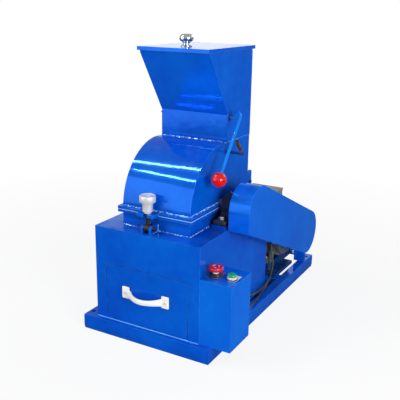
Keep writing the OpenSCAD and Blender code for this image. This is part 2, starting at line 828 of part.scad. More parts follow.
module hopper() {
    inner_x = drum_x - hopper_t;
    lip_y = gate_y + flap_l * cos(flap_slope) - 2 * bush_r;
    lip_z = gate_z - (lip_y - gate_y) * tan(flap_slope) + flap_t / 2 / cos(flap_slope) + rest;
    shelf_z = lip_z + (drum_y1 - hopper_t - lip_y) * 0.8;
    color(blue) difference() {
        union() {
            difference() {
                along_x(-drum_x, drum_x) hopper_side(0, 0, throat_z, hopper_z);
                along_x(-inner_x, inner_x) hopper_side(hopper_t, slant_t, throat_z - cut, hopper_z + cut);
            }
            along_x(-drum_x + cut, drum_x - cut) polygon([[lip_y, lip_z], [drum_y1 - cut, shelf_z],
                [drum_y1 - cut, shelf_z + hopper_t], [lip_y, lip_z + hopper_t]]);
        }
        both_sides() bar_x(bush_r + run, inner_x - 2 * cut, drum_x + cut, gate_y, gate_z);
    }
}

module lid_hinge() {
    arm_z = lid_pin_z - lid_knuckle_r;
    color(blue) for (s = [-1, 1]) translate([s * hinge_at, 0, 0]) difference() {
        union() {
            for (k = [-1, 1]) translate([k * knuckle_l, 0, 0]) {
                bar_x(lid_knuckle_r, -knuckle_l / 2 + rest, knuckle_l / 2 - rest, lid_pin_y, lid_pin_z);
                block([-knuckle_l / 2 + rest, drum_y1, arm_z],
                    [knuckle_l / 2 - rest, lid_pin_y, arm_z + lid_t]);
            }
            block([-1.5 * knuckle_l + rest, drum_y1, arm_z - 3 * lid_rim],
                [1.5 * knuckle_l - rest, drum_y1 + lid_t, arm_z + lid_t]);
        }
        bar_x(lid_pin_r, -2 * knuckle_l, 2 * knuckle_l, lid_pin_y, lid_pin_z);
    }
}

module lid_hinge_pin() {
    color(steel) for (s = [-1, 1])
        bar_x(lid_pin_r - run, s * hinge_at - 1.5 * knuckle_l - cut, s * hinge_at + 1.5 * knuckle_l + cut,
            lid_pin_y, lid_pin_z);
}

module hopper_lid() {
    color(blue) difference() {
        union() {
            difference() {
                block([-lid_x, lid_y0, lid_z - lid_rim], [lid_x, lid_y1, lid_z]);
                block([-lid_x + lid_t, lid_y0 + lid_t, lid_z - lid_rim - cut],
                    [lid_x - lid_t, lid_y1 + cut, hopper_z + rest]);
            }
            for (s = [-1, 1]) translate([s * hinge_at, 0, 0]) {
                bar_x(lid_knuckle_r, -knuckle_l / 2, knuckle_l / 2, lid_pin_y, lid_pin_z);
                block([-knuckle_l / 2, lid_y1 - cut, hopper_z + rest], [knuckle_l / 2, lid_pin_y, lid_z]);
            }
        }
        bar_x(lid_pin_r, -drum_x, drum_x, lid_pin_y, lid_pin_z);
        translate([0, lid_y0 + lid_knob_in, hopper_z - cut]) cylinder(r = screw_r, h = lid_t + 2 * cut);
    }
}

// Profile of the lid knob, as shares of its radius and height
lid_knob_shares = [[0, 0], [0.81, 0], [0.81, 0.06], [0.62, 0.12], [0.5, 0.2], [0.5, 0.3], [0.72, 0.38],
    [0.92, 0.46], [1, 0.58], [1, 0.74], [0.93, 0.85], [0.78, 0.93], [0.5, 0.98], [0, 1]];

module lid_knob() {
    color("silver") translate([0, lid_y0 + lid_knob_in, lid_z]) {
        rotate_extrude() polygon([for (p = lid_knob_shares) [p[0] * lid_knob_r, p[1] * lid_knob_h]]);
        translate([0, 0, -2 * lid_t]) cylinder(r = screw_r - run, h = 2 * lid_t + cut);
    }
}

module gate_bushes() {
    inner_x = drum_x - hopper_t;
    color(dark_blue) both_sides() difference() {
        bar_x(bush_r, inner_x, drum_x + 2 * cut, gate_y, gate_z);
        bar_x(gate_r + run, inner_x - cut, drum_x + 3 * cut, gate_y, gate_z);
    }
}

module gate_flap() {
    half = drum_x - hopper_t - 4 * cut;
    color(steel) {
        bar_x(gate_r, -drum_x - 2 * gate_r, gate_x, gate_y, gate_z);
        translate([0, gate_y, gate_z]) rotate([-flap_slope, 0, 0])
            block([-half, 0, -flap_t / 2], [half, flap_l, flap_t / 2]);
    }
}

lever_start = [gate_x, gate_y, gate_z];
hook = concat([lever_start], [for (p = smooth(hook_shares, 3)) lever_start + lever_out * p]);
hook_end = hook[len(hook) - 1];
ball_c = lever_start + [lever_out, -lever_fore, -lever_down];
stud_c = hook_end + stud_share * (ball_c - hook_end);
spring_at_x = drum_x + post_out;

module gate_lever() {
    color(blue) {
        tube(concat(hook, [ball_c]), gate_r, 16);
        bar_x(gate_r / 2, stud_c[0], spring_at_x + 4 * wire_r, stud_c[1], stud_c[2]);
    }
}

module lever_ball() {
    lever_dir = unit(hook_end - ball_c);
    color(red) translate(ball_c) difference() {
        sphere(r = ball_r);
        multmatrix(turn_to(lever_dir)) translate([0, 0, -ball_r / 4])
            cylinder(r = gate_r + rest, h = 2 * ball_r);
    }
}

// Rotation that takes +Z to the unit vector v in the Y-Z plane
function turn_to(v) = [[1, 0, 0, 0], [0, v[2], v[1], 0], [0, -v[1], v[2], 0], [0, 0, 0, 1]];

// Spring: from the post on the drum's side up to the stud on the lever
post_y = gate_y - post_fore;
post_z = gate_z - post_down;
spring_a = [spring_at_x, post_y, post_z];
spring_b = [spring_at_x, stud_c[1], stud_c[2]];
spring_u = unit(spring_b - spring_a);
spring_from = spring_a + (post_r + rest) * spring_u;
spring_to = spring_b - (gate_r / 2 + rest) * spring_u;
coil_a = spring_from + 4 * wire_r * spring_u;
coil_b = spring_to - 4 * wire_r * spring_u;
side_u = [1, 0, 0];
side_v = cross(spring_u, side_u);
ring_count = 8 * curls;

// Radius of the helix at share s of its length, eased in at both ends
function coil_ease(s) = coil_r * min(1, min(s, 1 - s) * curls * 1.3);
coil_path = [for (k = [0:ring_count]) let(s = k / ring_count, a = 45 * k)
    coil_a + s * (coil_b - coil_a) + coil_ease(s) * (cos(a) * side_u + sin(a) * side_v)];
spring_path = concat([spring_from, spring_from + 2 * wire_r * spring_u], coil_path,
    [spring_to - 2 * wire_r * spring_u, spring_to]);
spring_gap = min([for (k = [8:ring_count - 16]) norm(coil_path[k + 8] - coil_path[k])]) - 2 * wire_r;
echo(spring_gap = spring_gap);

module spring_post() {
    color(dark_blue) {
        bar_x(post_r, drum_x, spring_at_x + 4 * wire_r, post_y, post_z);
        bar_x(2 * post_r, drum_x, drum_x + cut, post_y, post_z);
    }
}

module return_spring() {
    color([0.45, 0.28, 0.18]) tube(spring_path, wire_r, 6);
}

module clamp_lugs() {
    color(blue) for (s = [-1, 1])
        along_x(clamp_x + s * (lug_gap + lug_t) / 2 - lug_t / 2, clamp_x + s * (lug_gap + lug_t) / 2
            + lug_t / 2)
            difference() {
                polygon([[clamp_y - eye_r, cab_z], [clamp_y - eye_r, lug_z - lug_t],
                    [clamp_y - eye_r + lug_t, lug_z],
                    [lug_y1 - lug_t, lug_z], [lug_y1, lug_z - lug_t], [lug_y1, cab_z]]);
                translate([clamp_y, clamp_pin_z]) circle(clamp_pin_r);
            }
}

module clamp_pin() {
    x0 = clamp_x - lug_gap / 2 - lug_t;
    x1 = clamp_x + lug_gap / 2 + lug_t;
    color(dark_steel) {
        bar_x(clamp_pin_r - run, x0 - cut, x1 + 2 * clamp_pin_r, clamp_y, clamp_pin_z);
        for (x = [x0 - rest - clamp_pin_r, x1 + rest])
            translate([x, clamp_y, clamp_pin_z]) rotate([0, 90, 0])
                cylinder(r = 2 * clamp_pin_r - cut, h = clamp_pin_r, $fn = 6);
    }
}

module swing_bolt() {
    color(dark_steel) difference() {
        union() {
            bar_x(eye_r, clamp_x - eye_w / 2, clamp_x + eye_w / 2, clamp_y, clamp_pin_z);
            translate([clamp_x, clamp_y, clamp_pin_z])
                cylinder(r = bolt_r, h = knob_z + knob_foot + neck_h + knob_h / 2 - clamp_pin_z);
        }
        bar_x(clamp_pin_r, clamp_x - lug_gap, clamp_x + lug_gap, clamp_y, clamp_pin_z);
    }
}

module clamp_knob() {
    head_z = knob_foot + neck_h;
    color("white") translate([clamp_x, clamp_y, knob_z]) difference() {
        union() {
            cylinder(r = (bolt_r + neck_r) / 2, h = knob_foot + cut);
            translate([0, 0, knob_foot]) cylinder(r = neck_r, h = neck_h + cut);
            translate([0, 0, head_z]) cylinder(r1 = knob_r - cut, r2 = knob_r, h = cut);
            translate([0, 0, head_z + cut]) cylinder(r = knob_r, h = knob_h - 3 * cut);
            translate([0, 0, head_z + knob_h - 2 * cut])
                cylinder(r1 = knob_r, r2 = knob_r - 2 * cut, h = 2 * cut);
        }
        translate([0, 0, -cut]) cylinder(r = bolt_r + run, h = head_z + 0.7 * knob_h + cut);
        translate([0, 0, head_z + knob_h - cut]) cylinder(r = knob_r - 4 * cut, h = 2 * cut);
        translate([0, 0, head_z + 0.9 * knob_h - cut]) cylinder(r = bolt_r / 2, h = knob_h);
    }
}

module back_hinge_lugs() {
    color(blue) both_sides() along_x(back_lug_x - back_plate_t, back_lug_x) difference() {
        union() {
            translate([back_pin_y - back_lug_r, cab_z]) square([2 * back_lug_r, back_pin_z - cab_z]);
            translate([back_pin_y, back_pin_z]) circle(back_lug_r);
        }
        translate([back_pin_y, back_pin_z]) circle(back_pin_r);
    }
}

module back_hinge_pin() {
    end_x = drum_x + back_pin_r / 2;
    color(dark_blue) {
        bar_x(back_pin_r - run, -end_x, end_x, back_pin_y, back_pin_z);
        both_sides() bar_x(back_lug_r - cut, drum_x + rest, end_x, back_pin_y, back_pin_z);
    }
}

module bearing_housings() {
    color(black) both_sides() difference() {
        union() {
            block([brg_x - brg_w / 2, rotor_y - brg_l / 2, brg_z],
                [brg_x + brg_w / 2, rotor_y + brg_l / 2, brg_z + brg_foot]);
            bar_x(brg_r, brg_x - brg_w / 2 + 2 * cut, brg_x + brg_w / 2 - 2 * cut, rotor_y, rotor_z);
            along_x(brg_x - brg_w / 2 + 2 * cut, brg_x + brg_w / 2 - 2 * cut)
                polygon([[rotor_y - brg_r - brg_foot, brg_z], [rotor_y - brg_r + cut, rotor_z],
                    [rotor_y + brg_r - cut, rotor_z], [rotor_y + brg_r + brg_foot, brg_z]]);
        }
        bar_x(insert_r, brg_x - brg_w, brg_x + brg_w, rotor_y, rotor_z);
        for (s = [-1, 1]) translate([brg_x, rotor_y + s * brg_bolts / 2, brg_z - cut])
            cylinder(r = mbolt_r + rest, h = brg_foot + 2 * cut);
    }
}

module bearing_inserts() {
    color(steel) both_sides() difference() {
        bar_x(insert_r, brg_x - brg_w / 2, brg_x + brg_w / 2, rotor_y, rotor_z);
        bar_x(shaft_r + run, brg_x - brg_w, brg_x + brg_w, rotor_y, rotor_z);
    }
}

module rotor_shaft() {
    collar_r = shaft_r + 2 * disc_t;
    color(steel) {
        bar_x(shaft_r, shaft_x0, shaft_x1, rotor_y, rotor_z);
        both_sides() bar_x(notch_r - 2 * cut, rotor_w / 2 + rest, brg_x - brg_w / 2 - cut, rotor_y, rotor_z);
        both_sides() bar_x(collar_r, rotor_w / 2 + rest, rotor_w / 2 + 3 * cut, rotor_y, rotor_z);
    }
}

disc_pitch = (rotor_w - disc_t) / 3;
pin_turns = [0, 90, 180, 270];

module rotor_discs() {
    tube_r = shaft_r + 0.75 * disc_t;
    spacer = (disc_pitch - disc_t - hammer_t) / 2 - rest;
    color(dark_steel) difference() {
        union() {
            for (k = [0:3]) bar_x(disc_r, -rotor_w / 2 + k * disc_pitch, -rotor_w / 2 + k * disc_pitch
                + disc_t, rotor_y, rotor_z);
            bar_x(tube_r, -rotor_w / 2, rotor_w / 2, rotor_y, rotor_z);
            for (k = [0:2]) for (a = pin_turns) translate([0, rotor_y, rotor_z]) rotate([a, 0, 0])
                for (x = [-rotor_w / 2 + k * disc_pitch + disc_t - cut, -rotor_w / 2 + (k
                    + 1) * disc_pitch - spacer])
                    bar_x(1.6 * hpin_r, x, x + spacer + cut, 0, hpin_at);
        }
        bar_x(shaft_r, -rotor_w, rotor_w, rotor_y, rotor_z);
        for (a = pin_turns) translate([0, rotor_y, rotor_z]) rotate([a, 0, 0])
            bar_x(hpin_r, -rotor_w, rotor_w, 0, hpin_at);
    }
}

module hammer_pins() {
    color(steel) for (a = pin_turns) translate([0, rotor_y, rotor_z]) rotate([a, 0, 0])
        bar_x(hpin_r - run, -rotor_w / 2 - cut, rotor_w / 2 + cut, 0, hpin_at);
}

// Three hammers that hang down from the pin at [y, z]
module hammer_row(y, z) {
    color(steel) translate([0, y, z]) for (k = [-1, 0, 1])
        along_x(k * disc_pitch - hammer_t / 2, k * disc_pitch + hammer_t / 2) difference() {
            union() {
                circle(hammer_w / 2);
                translate([-hammer_w / 2, -hammer_l]) square([hammer_w, hammer_l]);
            }
            circle(hpin_r);
        }
}

module hammers_top() { hammer_row(rotor_y, rotor_z + hpin_at); }
module hammers_front() { hammer_row(rotor_y - hpin_at, rotor_z); }
module hammers_bottom() { hammer_row(rotor_y, rotor_z - hpin_at); }
module hammers_back() { hammer_row(rotor_y + hpin_at, rotor_z); }

// Grooved pulley for two belts on a shaft at [y, z]
module pulley(r, bore, at) {
    floor_r = r - belt_h - cut;
    half = belt_w / 2 + cut;
    color(dark_steel) translate([pulley_x, at[0], at[1]]) rotate([0, 90, 0]) difference() {
        rotate_extrude() difference() {
            translate([bore, -pulley_w / 2]) square([r - bore, pulley_w]);
            for (s = [-1, 1]) polygon([[floor_r, s * belt_pitch / 2 - half + cut],
                [r + cut, s * belt_pitch / 2 - half],
                [r + cut, s * belt_pitch / 2 + half], [floor_r, s * belt_pitch / 2 + half - cut]]);
        }
        for (s = [-1, 1]) translate([0, 0, s * pulley_w / 2]) rotate_extrude()
            translate([bore + belt_h, -belt_h / 2]) square([r - bore - 2.6 * belt_h, belt_h]);
    }
}

module rotor_pulley() { pulley(rp_r, shaft_r, rotor_at); }
module motor_pulley() { pulley(mp_r, mshaft_r, motor_at); }

module v_belts() {
    color(black) for (s = [-1, 1])
        along_x(pulley_x + s * belt_pitch / 2 - belt_w / 2 + rest, pulley_x + s * belt_pitch / 2
            + belt_w / 2 - rest)
            difference() {
                wrap(rotor_at, rp_r - rest, motor_at, mp_r - rest);
                wrap(rotor_at, rp_r - belt_h + rest, motor_at, mp_r - belt_h + rest);
            }
}

guard_slope = atan2(motor_z - rotor_z, motor_y - rotor_y);

// Points of an arc in Y and Z round c, from angle a to angle b
function arc(c, r, a, b) = let(n = $fn / 2) [for (k = [0:n]) let(g = a + (b - a) * k / n) c + r * [cos(g), sin(g)]];

// Outline of the guard: round behind, round above and square below in front
module guard_outline(t) {
    r = guard_r - t;
    ends = arc(motor_at, r, guard_slope + 90, guard_slope - 90);
    low = ends[len(ends) - 1];
    front_y = rotor_y - r;
    corner_z = low[1] + (front_y - low[0]) * tan(guard_slope);
    polygon(concat([[front_y, corner_z]], arc(rotor_at, r, 180, guard_slope + 90), ends));
}

module belt_guard() {
    color(blue) difference() {
        along_x(guard_x0, guard_x1) guard_outline(0);
        along_x(guard_x0 + guard_t, guard_x1 - guard_t) guard_outline(guard_t);
        along_x(guard_x0 - cut, guard_x0 + 2 * guard_t) guard_outline(guard_lip);
        for (p = guard_fixings) bar_x(screw_r + rest, guard_x0 - cut, guard_x0 + guard_t + cut, p[0], p[1]);
    }
}

stay_w = 36;
stay_t = 4;
top_fix_y = rotor_y + brg_l / 2 + stay_w / 2 + guard_t;
top_fix_z = rotor_z + guard_r / cos(guard_slope)
    + (top_fix_y - rotor_y) * tan(guard_slope) - guard_lip / 2 - guard_t;
low_fix_y = motor_y + 0.8 * guard_r;
low_fix_z = motor_z - sqrt(pow(guard_r - guard_lip / 2 - guard_t, 2) - pow(low_fix_y - motor_y, 2));
guard_fixings = [[top_fix_y, top_fix_z], [low_fix_y, low_fix_z]];

module guard_stays() {
    color(blue) difference() {
        union() {
            block([cab_x - stay_w, top_fix_y - stay_w / 2, cab_z],
                [guard_x0, top_fix_y + stay_w / 2, cab_z + stay_t]);
            block([guard_x0 - stay_t, top_fix_y - stay_w / 2, cab_z],
                [guard_x0, top_fix_y + stay_w / 2, top_fix_z + guard_lip / 2 - guard_t]);
            block([guard_x0 - stay_t, low_fix_y - stay_w / 4, base_h],
                [guard_x0, low_fix_y + stay_w / 4, low_fix_z + guard_lip / 2]);
            block([guard_x0 - stay_t, low_fix_y - stay_w / 4, base_h],
                [base_x - rail_t, low_fix_y + stay_w / 4, base_h + stay_t]);
            block([guard_x0 - stay_t, low_fix_y + stay_w / 4 - stay_t, base_h],
                [base_x - rail_t, low_fix_y + stay_w / 4, motor_z - 0.55 * guard_r]);
        }
        for (p = guard_fixings) bar_x(screw_r + rest, guard_x0 - 2 * stay_t, guard_x0 + cut, p[0], p[1]);
    }
}

module guard_screws() {
    color(steel) for (p = guard_fixings) {
        translate([guard_x0 - stay_t - screw_head_h - rest, p[0], p[1]]) rotate([0, 90, 0]) {
            cylinder(r = screw_head_r, h = screw_head_h, $fn = 6);
            cylinder(r = screw_r, h = screw_head_h + stay_t + guard_t + rest + 2 * cut);
        }
    }
}

module motor_bed() {
    color(dark_blue) {
        translate([0, 0, base_h]) linear_extrude(bed_t)
            polygon([[bed_x0, bed_y0], [bed_x1, bed_y0], [bed_x1, bed_notch_y], [bed_notch_x, bed_notch_y],
                [bed_notch_x, bed_y1], [bed_x0, bed_y1]]);
        for (s = [-1, 1]) translate([feet_mid + s * feet_x / 2, 0, 0]) difference() {
            block([-slide_w / 2, slide_y0, bed_z], [slide_w / 2, slide_y1, rail_z]);
            for (t = [-1, 1]) translate([0, motor_y + t * feet_y / 2, bed_z])
                cylinder(r = mbolt_r, h = slide_h + cut);
        }
    }
}

core_bore = motor_r - 2 * foot_t;

module motor_frame() {
    color(grey) difference() {
        union() {
            along_x(stator_x0, stator_x1) translate(motor_at) {
                circle(motor_r);
                for (k = [0:fins - 1]) rotate(360 * (k + 0.5) / fins)
                    translate([motor_r - cut, -cut]) square([fin_h + cut, 2 * cut]);
            }
            for (s = [-1, 1]) {
                block([feet_mid - feet_x / 2 - foot_w / 2, motor_y + s * feet_y / 2 - foot_w / 2, rail_z],
                    [feet_mid + feet_x / 2 + foot_w / 2, motor_y + s * feet_y / 2 + foot_w / 2, rail_z
                        + foot_t]);
                along_x(feet_mid - feet_x / 2 - foot_w / 2, feet_mid + feet_x / 2 + foot_w / 2)
                    polygon([[motor_y + s * (feet_y + foot_w) / 2, rail_z + cut],
                        [motor_y + s * motor_r * 0.86, motor_z - motor_r / 2],
                        [motor_y + s * motor_r * 0.5, motor_z - motor_r / 2],
                            [motor_y + s * (feet_y - foot_w) / 2, rail_z + cut]]);
            }
            block([term_x0 + foot_t, motor_y - term_l / 2 + foot_t, motor_z],
                [term_x1 - foot_t, motor_y + term_l / 2 - foot_t, box_top]);
        }
        bar_x(core_bore, stator_x0 - cut, stator_x1 + cut, motor_y, motor_z);
        for (s = [-1, 1]) for (t = [-1, 1])
            translate([feet_mid + s * feet_x / 2, motor_y + t * feet_y / 2, rail_z - cut]) {
                cylinder(r = mbolt_r + rest, h = foot_t + 3 * cut);
                translate([0, 0, foot_t + cut]) cylinder(r = mbolt_head / 2 + cut, h = motor_h / 2);
            }
    }
}

module end_shields() {
    color(grey) {
        end_shield(stator_x1, 1);
        end_shield(stator_x0, -1);
    }
}

// Dished end shield with a bearing hub, facing along X
module end_shield(x, side) {
    hub_r = 2 * mshaft_r;
    translate([x, motor_y, motor_z]) rotate([0, 90 * side, 0]) difference() {
        union() {
            cylinder(r = motor_r + cut, h = shield_l / 2);
            translate([0, 0, shield_l / 2])
                cylinder(r1 = motor_r - 3 * guard_t, r2 = motor_r - shield_l / 2, h = shield_l / 4);
            cylinder(r = hub_r, h = shield_l);
            for (k = [0:3]) rotate(45 + 90 * k) translate([0, -2 * cut, 0])
                cube([motor_r - shield_l / 2, 4 * cut, shield_l - cut]);
        }
        translate([0, 0, -cut]) cylinder(r = mshaft_r + run, h = shield_l + 2 * cut);
        translate([0, 0, -cut]) cylinder(r = motor_r - 2 * shield_l, h = shield_l / 3);
    }
}

module fan_cover() {
    x1 = stator_x0 - shield_l / 2 - rest;
    slots = 12;
    color(grey) difference() {
        bar_x(motor_r, cowl_x0, x1, motor_y, motor_z);
        bar_x(motor_r - 2 * guard_t, cowl_x0 + guard_t, x1 + cut, motor_y, motor_z);
        for (k = [0:slots - 1]) translate([cowl_x0, motor_y, motor_z]) rotate([360 * k / slots, 0, 0])
            block([-cut, -2 * guard_t, motor_r / 4], [2 * guard_t, 2 * guard_t, motor_r * 0.8]);
    }
}

module motor_fan() {
    x0 = cowl_x0 + shield_l;
    blades = 8;
    color(black) difference() {
        union() {
            bar_x(motor_r - shield_l, x0 + shield_l, x0 + shield_l + guard_t, motor_y, motor_z);
            bar_x(2 * mshaft_r, x0, x0 + shield_l + guard_t, motor_y, motor_z);
            for (k = [0:blades - 1]) translate([x0, motor_y, motor_z]) rotate([360 * k / blades, 0, 0])
                block([0, -cut, mshaft_r * 1.5], [shield_l + cut, cut, motor_r - shield_l]);
        }
        bar_x(mshaft_r, x0 - cut, x0 + 2 * shield_l, motor_y, motor_z);
    }
}

module motor_shaft() {
    color(steel) {
        bar_x(mshaft_r, cowl_x0 + shield_l / 2, pulley_x1 + cut, motor_y, motor_z);
        bar_x(core_bore * 0.9, stator_x0 + foot_w / 2, stator_x1 - foot_w / 2, motor_y, motor_z);
    }
}

module terminal_box() {
    y0 = motor_y - term_l / 2;
    y1 = motor_y + term_l / 2;
    color([0.60, 0.58, 0.55]) difference() {
        union() {
            block([term_x0, y0, box_top], [term_x1, y1, box_top + term_h - 2 * guard_t]);
            block([term_x0 - cut, y0 - cut, box_top + term_h - 3 * guard_t],
                [term_x1 + cut, y1 + cut, box_top + term_h]);
        }
        block([term_x0 + guard_t, y0 + guard_t, box_top + guard_t],
            [term_x1 - guard_t, y1 - guard_t, box_top + term_h - 3 * guard_t]);
        for (x = [cable_route[0][0], earth_route[0][0]]) translate([x, y0 + 2 * guard_t, cable_route[0][2]])
            rotate([90, 0, 0]) cylinder(r = gland_thread, h = 4 * guard_t);
    }
}

module machine_bolts() {
    color(steel) {
        both_sides() for (s = [-1, 1]) translate([brg_x, rotor_y + s * brg_bolts / 2, brg_z + brg_foot])
            hex_bolt(mbolt_r - run, brg_foot + pad_t + cab_t, mbolt_head, mbolt_head_h);
        for (s = [-1, 1]) for (t = [-1, 1])
            translate([feet_mid + s * feet_x / 2, motor_y + t * feet_y / 2, rail_z + foot_t])
            hex_bolt(mbolt_r - run, slide_h / 2 + foot_t, mbolt_head, mbolt_head_h);
    }
}

module control_box() {
    color(blue) difference() {
        block([cbox_x0, cab_y0, cbox_z0], [cbox_x1, cbox_y1, cbox_z1]);
        block([cbox_x0 - cut, cab_y0 + box_t, cbox_z0 + box_t],
            [cbox_x1 - box_t, cbox_y1 - box_t, cbox_z1 - box_t]);
        for (x = [stop_x, start_x]) translate([x, button_y, cbox_z1 - 2 * box_t])
            cylinder(r = panel_r, h = 3 * box_t);
        for (p = gland_places) translate([p[0], cbox_y1 + cut, p[1]]) rotate([90, 0, 0])
            cylinder(r = gland_thread, h = 2 * box_t + 2 * cut);
    }
}

gland_places = [[gland_x, cable_end_z], [earth_x, earth_end_z], [gland_x, inlet_end_z]];

module legend_plates() {
    color("white") for (x = [stop_x, start_x]) difference() {
        block([x - legend_w / 2, button_y - legend_w / 2, cbox_z1],
            [x + legend_w / 2, button_y - legend_w / 2 + legend_l, cbox_z1 + plate_t]);
        translate([x, button_y, cbox_z1 - cut]) cylinder(r = panel_r, h = plate_t + 2 * cut);
    }
}

// Threaded barrel of a push button with its nut, hanging from the panel's top face
module button_barrel(depth) {
    translate([0, 0, cbox_z1 - depth]) cylinder(r = panel_r - run, h = depth + plate_t + cut);
    translate([0, 0, cbox_z1 - box_t - nut_t]) cylinder(r = nut_r, h = nut_t, $fn = 6);
}

module stop_collar() {
    z0 = cbox_z1 + plate_t;
    color(black) translate([stop_x, button_y, 0]) difference() {
        union() {
            translate([0, 0, z0]) cylinder(r = nut_r + cut / 2, h = collar_h * 2 / 3);
            translate([0, 0, z0]) cylinder(r = panel_r + cut, h = collar_h);
            button_barrel(6 * nut_t);
        }
        translate([0, 0, cbox_z1 - 5 * nut_t]) cylinder(r = stem_r, h = 5 * nut_t + 2 * collar_h);
    }
}

// Profile of the emergency stop's head, as shares of its radius and thickness
stop_shares = [[0, 0], [0.55, 0], [0.9, 0.2], [1, 0.46], [1, 0.68], [0.95, 0.84], [0.82, 0.96],
    [0.6, 1], [0, 1]];

module stop_head() {
    color(red) translate([stop_x, button_y, cbox_z1 + plate_t + collar_h + stop_travel + cut]) {
        rotate_extrude() polygon([for (p = stop_shares) [p[0] * stop_r, p[1] * 0.62 * stop_r]]);
        translate([0, 0, stop_travel - 4 * nut_t]) cylinder(r = stem_r - run, h = 4 * nut_t);
    }
}

module start_bezel() {
    z0 = cbox_z1 + plate_t;
    ring_h = bezel_h / 3;
    color(cream) translate([start_x, button_y, 0]) difference() {
        union() {
            translate([0, 0, z0]) cylinder(r = nut_r - cut / 2, h = ring_h);
            translate([0, 0, z0 + ring_h])
                cylinder(r1 = nut_r - 3 * cut / 2, r2 = panel_r + cut, h = bezel_h - ring_h);
            button_barrel(5 * nut_t);
        }
        translate([0, 0, cbox_z1 - 4 * nut_t]) cylinder(r = stem_r, h = 4 * nut_t + 2 * bezel_h);
    }
}

module start_cap() {
    color(green) translate([start_x, button_y, cbox_z1 + plate_t + bezel_h + start_travel + rest]) {
        cylinder(r1 = start_r, r2 = start_r - cut / 2, h = start_r / 3);
        translate([0, 0, start_travel - 3 * nut_t]) cylinder(r = stem_r - run, h = 3 * nut_t);
    }
}

module cable_glands() {
    color(black) {
        for (p = gland_places) translate([p[0], cbox_y1, p[1]]) rotate([-90, 0, 0]) gland();
        for (x = [cable_route[0][0], earth_route[0][0]])
            translate([x, motor_y - term_l / 2, cable_route[0][2]])
            rotate([90, 0, 0]) gland();
    }
}

// Cable gland standing on a wall at the origin, its thread going through the wall
module gland() {
    difference() {
        union() {
            cylinder(r = gland_nut_r, h = gland_nut_t, $fn = 6);
            translate([0, 0, gland_nut_t]) cylinder(r = gland_r, h = gland_nose);
            translate([0, 0, gland_nut_t + gland_nose])
                cylinder(r1 = gland_r, r2 = gland_r - gland_tip, h = gland_tip);
            translate([0, 0, -2 * guard_t]) cylinder(r = gland_thread - run, h = 2 * guard_t + cut);
        }
        translate([0, 0, -3 * guard_t])
            cylinder(r = cable_r + rest, h = 3 * guard_t + gland_nut_t + gland_nose + 2 * gland_tip);
    }
}

module motor_cable() {
    color([0.55, 0.60, 0.25]) tube(smooth(cable_route, 2), cable_r, 8);
}

module earth_cable() {
    color([0.35, 0.38, 0.30]) tube(smooth(earth_route, 2), cable_r, 8);
}

base_frame();
cabinet();
drawer_runners();
drawer();
drawer_handle();
handle_screws();
lower_housing();
flange_gasket();
sieve();
upper_housing();
breaker_plate();
hopper();
lid_hinge();
lid_hinge_pin();
hopper_lid();
lid_knob();
gate_bushes();
gate_flap();
gate_lever();
lever_ball();
spring_post();
return_spring();
clamp_lugs();
clamp_pin();
swing_bolt();
clamp_knob();
back_hinge_lugs();
back_hinge_pin();
bearing_housings();
bearing_inserts();
rotor_shaft();
rotor_discs();
hammer_pins();
hammers_top();
hammers_front();
hammers_bottom();
hammers_back();
rotor_pulley();
motor_pulley();
v_belts();
belt_guard();
guard_stays();
guard_screws();
motor_bed();
motor_frame();
end_shields();
fan_cover();
motor_fan();
motor_shaft();
terminal_box();
machine_bolts();
control_box();
legend_plates();
stop_collar();
stop_head();
start_bezel();
start_cap();
cable_glands();
motor_cable();
earth_cable();
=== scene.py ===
"""Looks of a small hammer crusher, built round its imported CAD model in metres."""

import json
import math
import random

import bmesh
import bpy
from mathutils import Matrix, Vector

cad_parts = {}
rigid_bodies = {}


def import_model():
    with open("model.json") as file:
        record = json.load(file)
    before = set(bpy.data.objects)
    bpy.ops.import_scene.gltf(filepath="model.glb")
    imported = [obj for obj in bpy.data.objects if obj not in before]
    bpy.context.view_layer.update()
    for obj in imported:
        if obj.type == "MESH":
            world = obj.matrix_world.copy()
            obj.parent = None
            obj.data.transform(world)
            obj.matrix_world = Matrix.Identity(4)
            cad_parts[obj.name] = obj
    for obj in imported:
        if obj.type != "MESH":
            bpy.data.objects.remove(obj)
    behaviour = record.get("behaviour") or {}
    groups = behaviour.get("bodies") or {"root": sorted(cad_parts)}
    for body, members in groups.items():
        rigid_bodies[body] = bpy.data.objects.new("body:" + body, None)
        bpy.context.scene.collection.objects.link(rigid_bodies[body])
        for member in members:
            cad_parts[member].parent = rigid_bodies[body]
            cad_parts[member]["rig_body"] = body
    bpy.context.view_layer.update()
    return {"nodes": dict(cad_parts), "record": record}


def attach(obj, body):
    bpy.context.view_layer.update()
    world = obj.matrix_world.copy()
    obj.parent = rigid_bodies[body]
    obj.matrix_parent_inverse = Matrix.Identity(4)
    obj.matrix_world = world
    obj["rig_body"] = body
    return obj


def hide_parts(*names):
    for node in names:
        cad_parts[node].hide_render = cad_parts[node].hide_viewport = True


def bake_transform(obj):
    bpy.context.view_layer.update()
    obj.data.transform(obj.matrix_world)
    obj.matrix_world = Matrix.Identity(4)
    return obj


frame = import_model()
scene = bpy.context.scene
scene.view_settings.view_transform = "Standard"

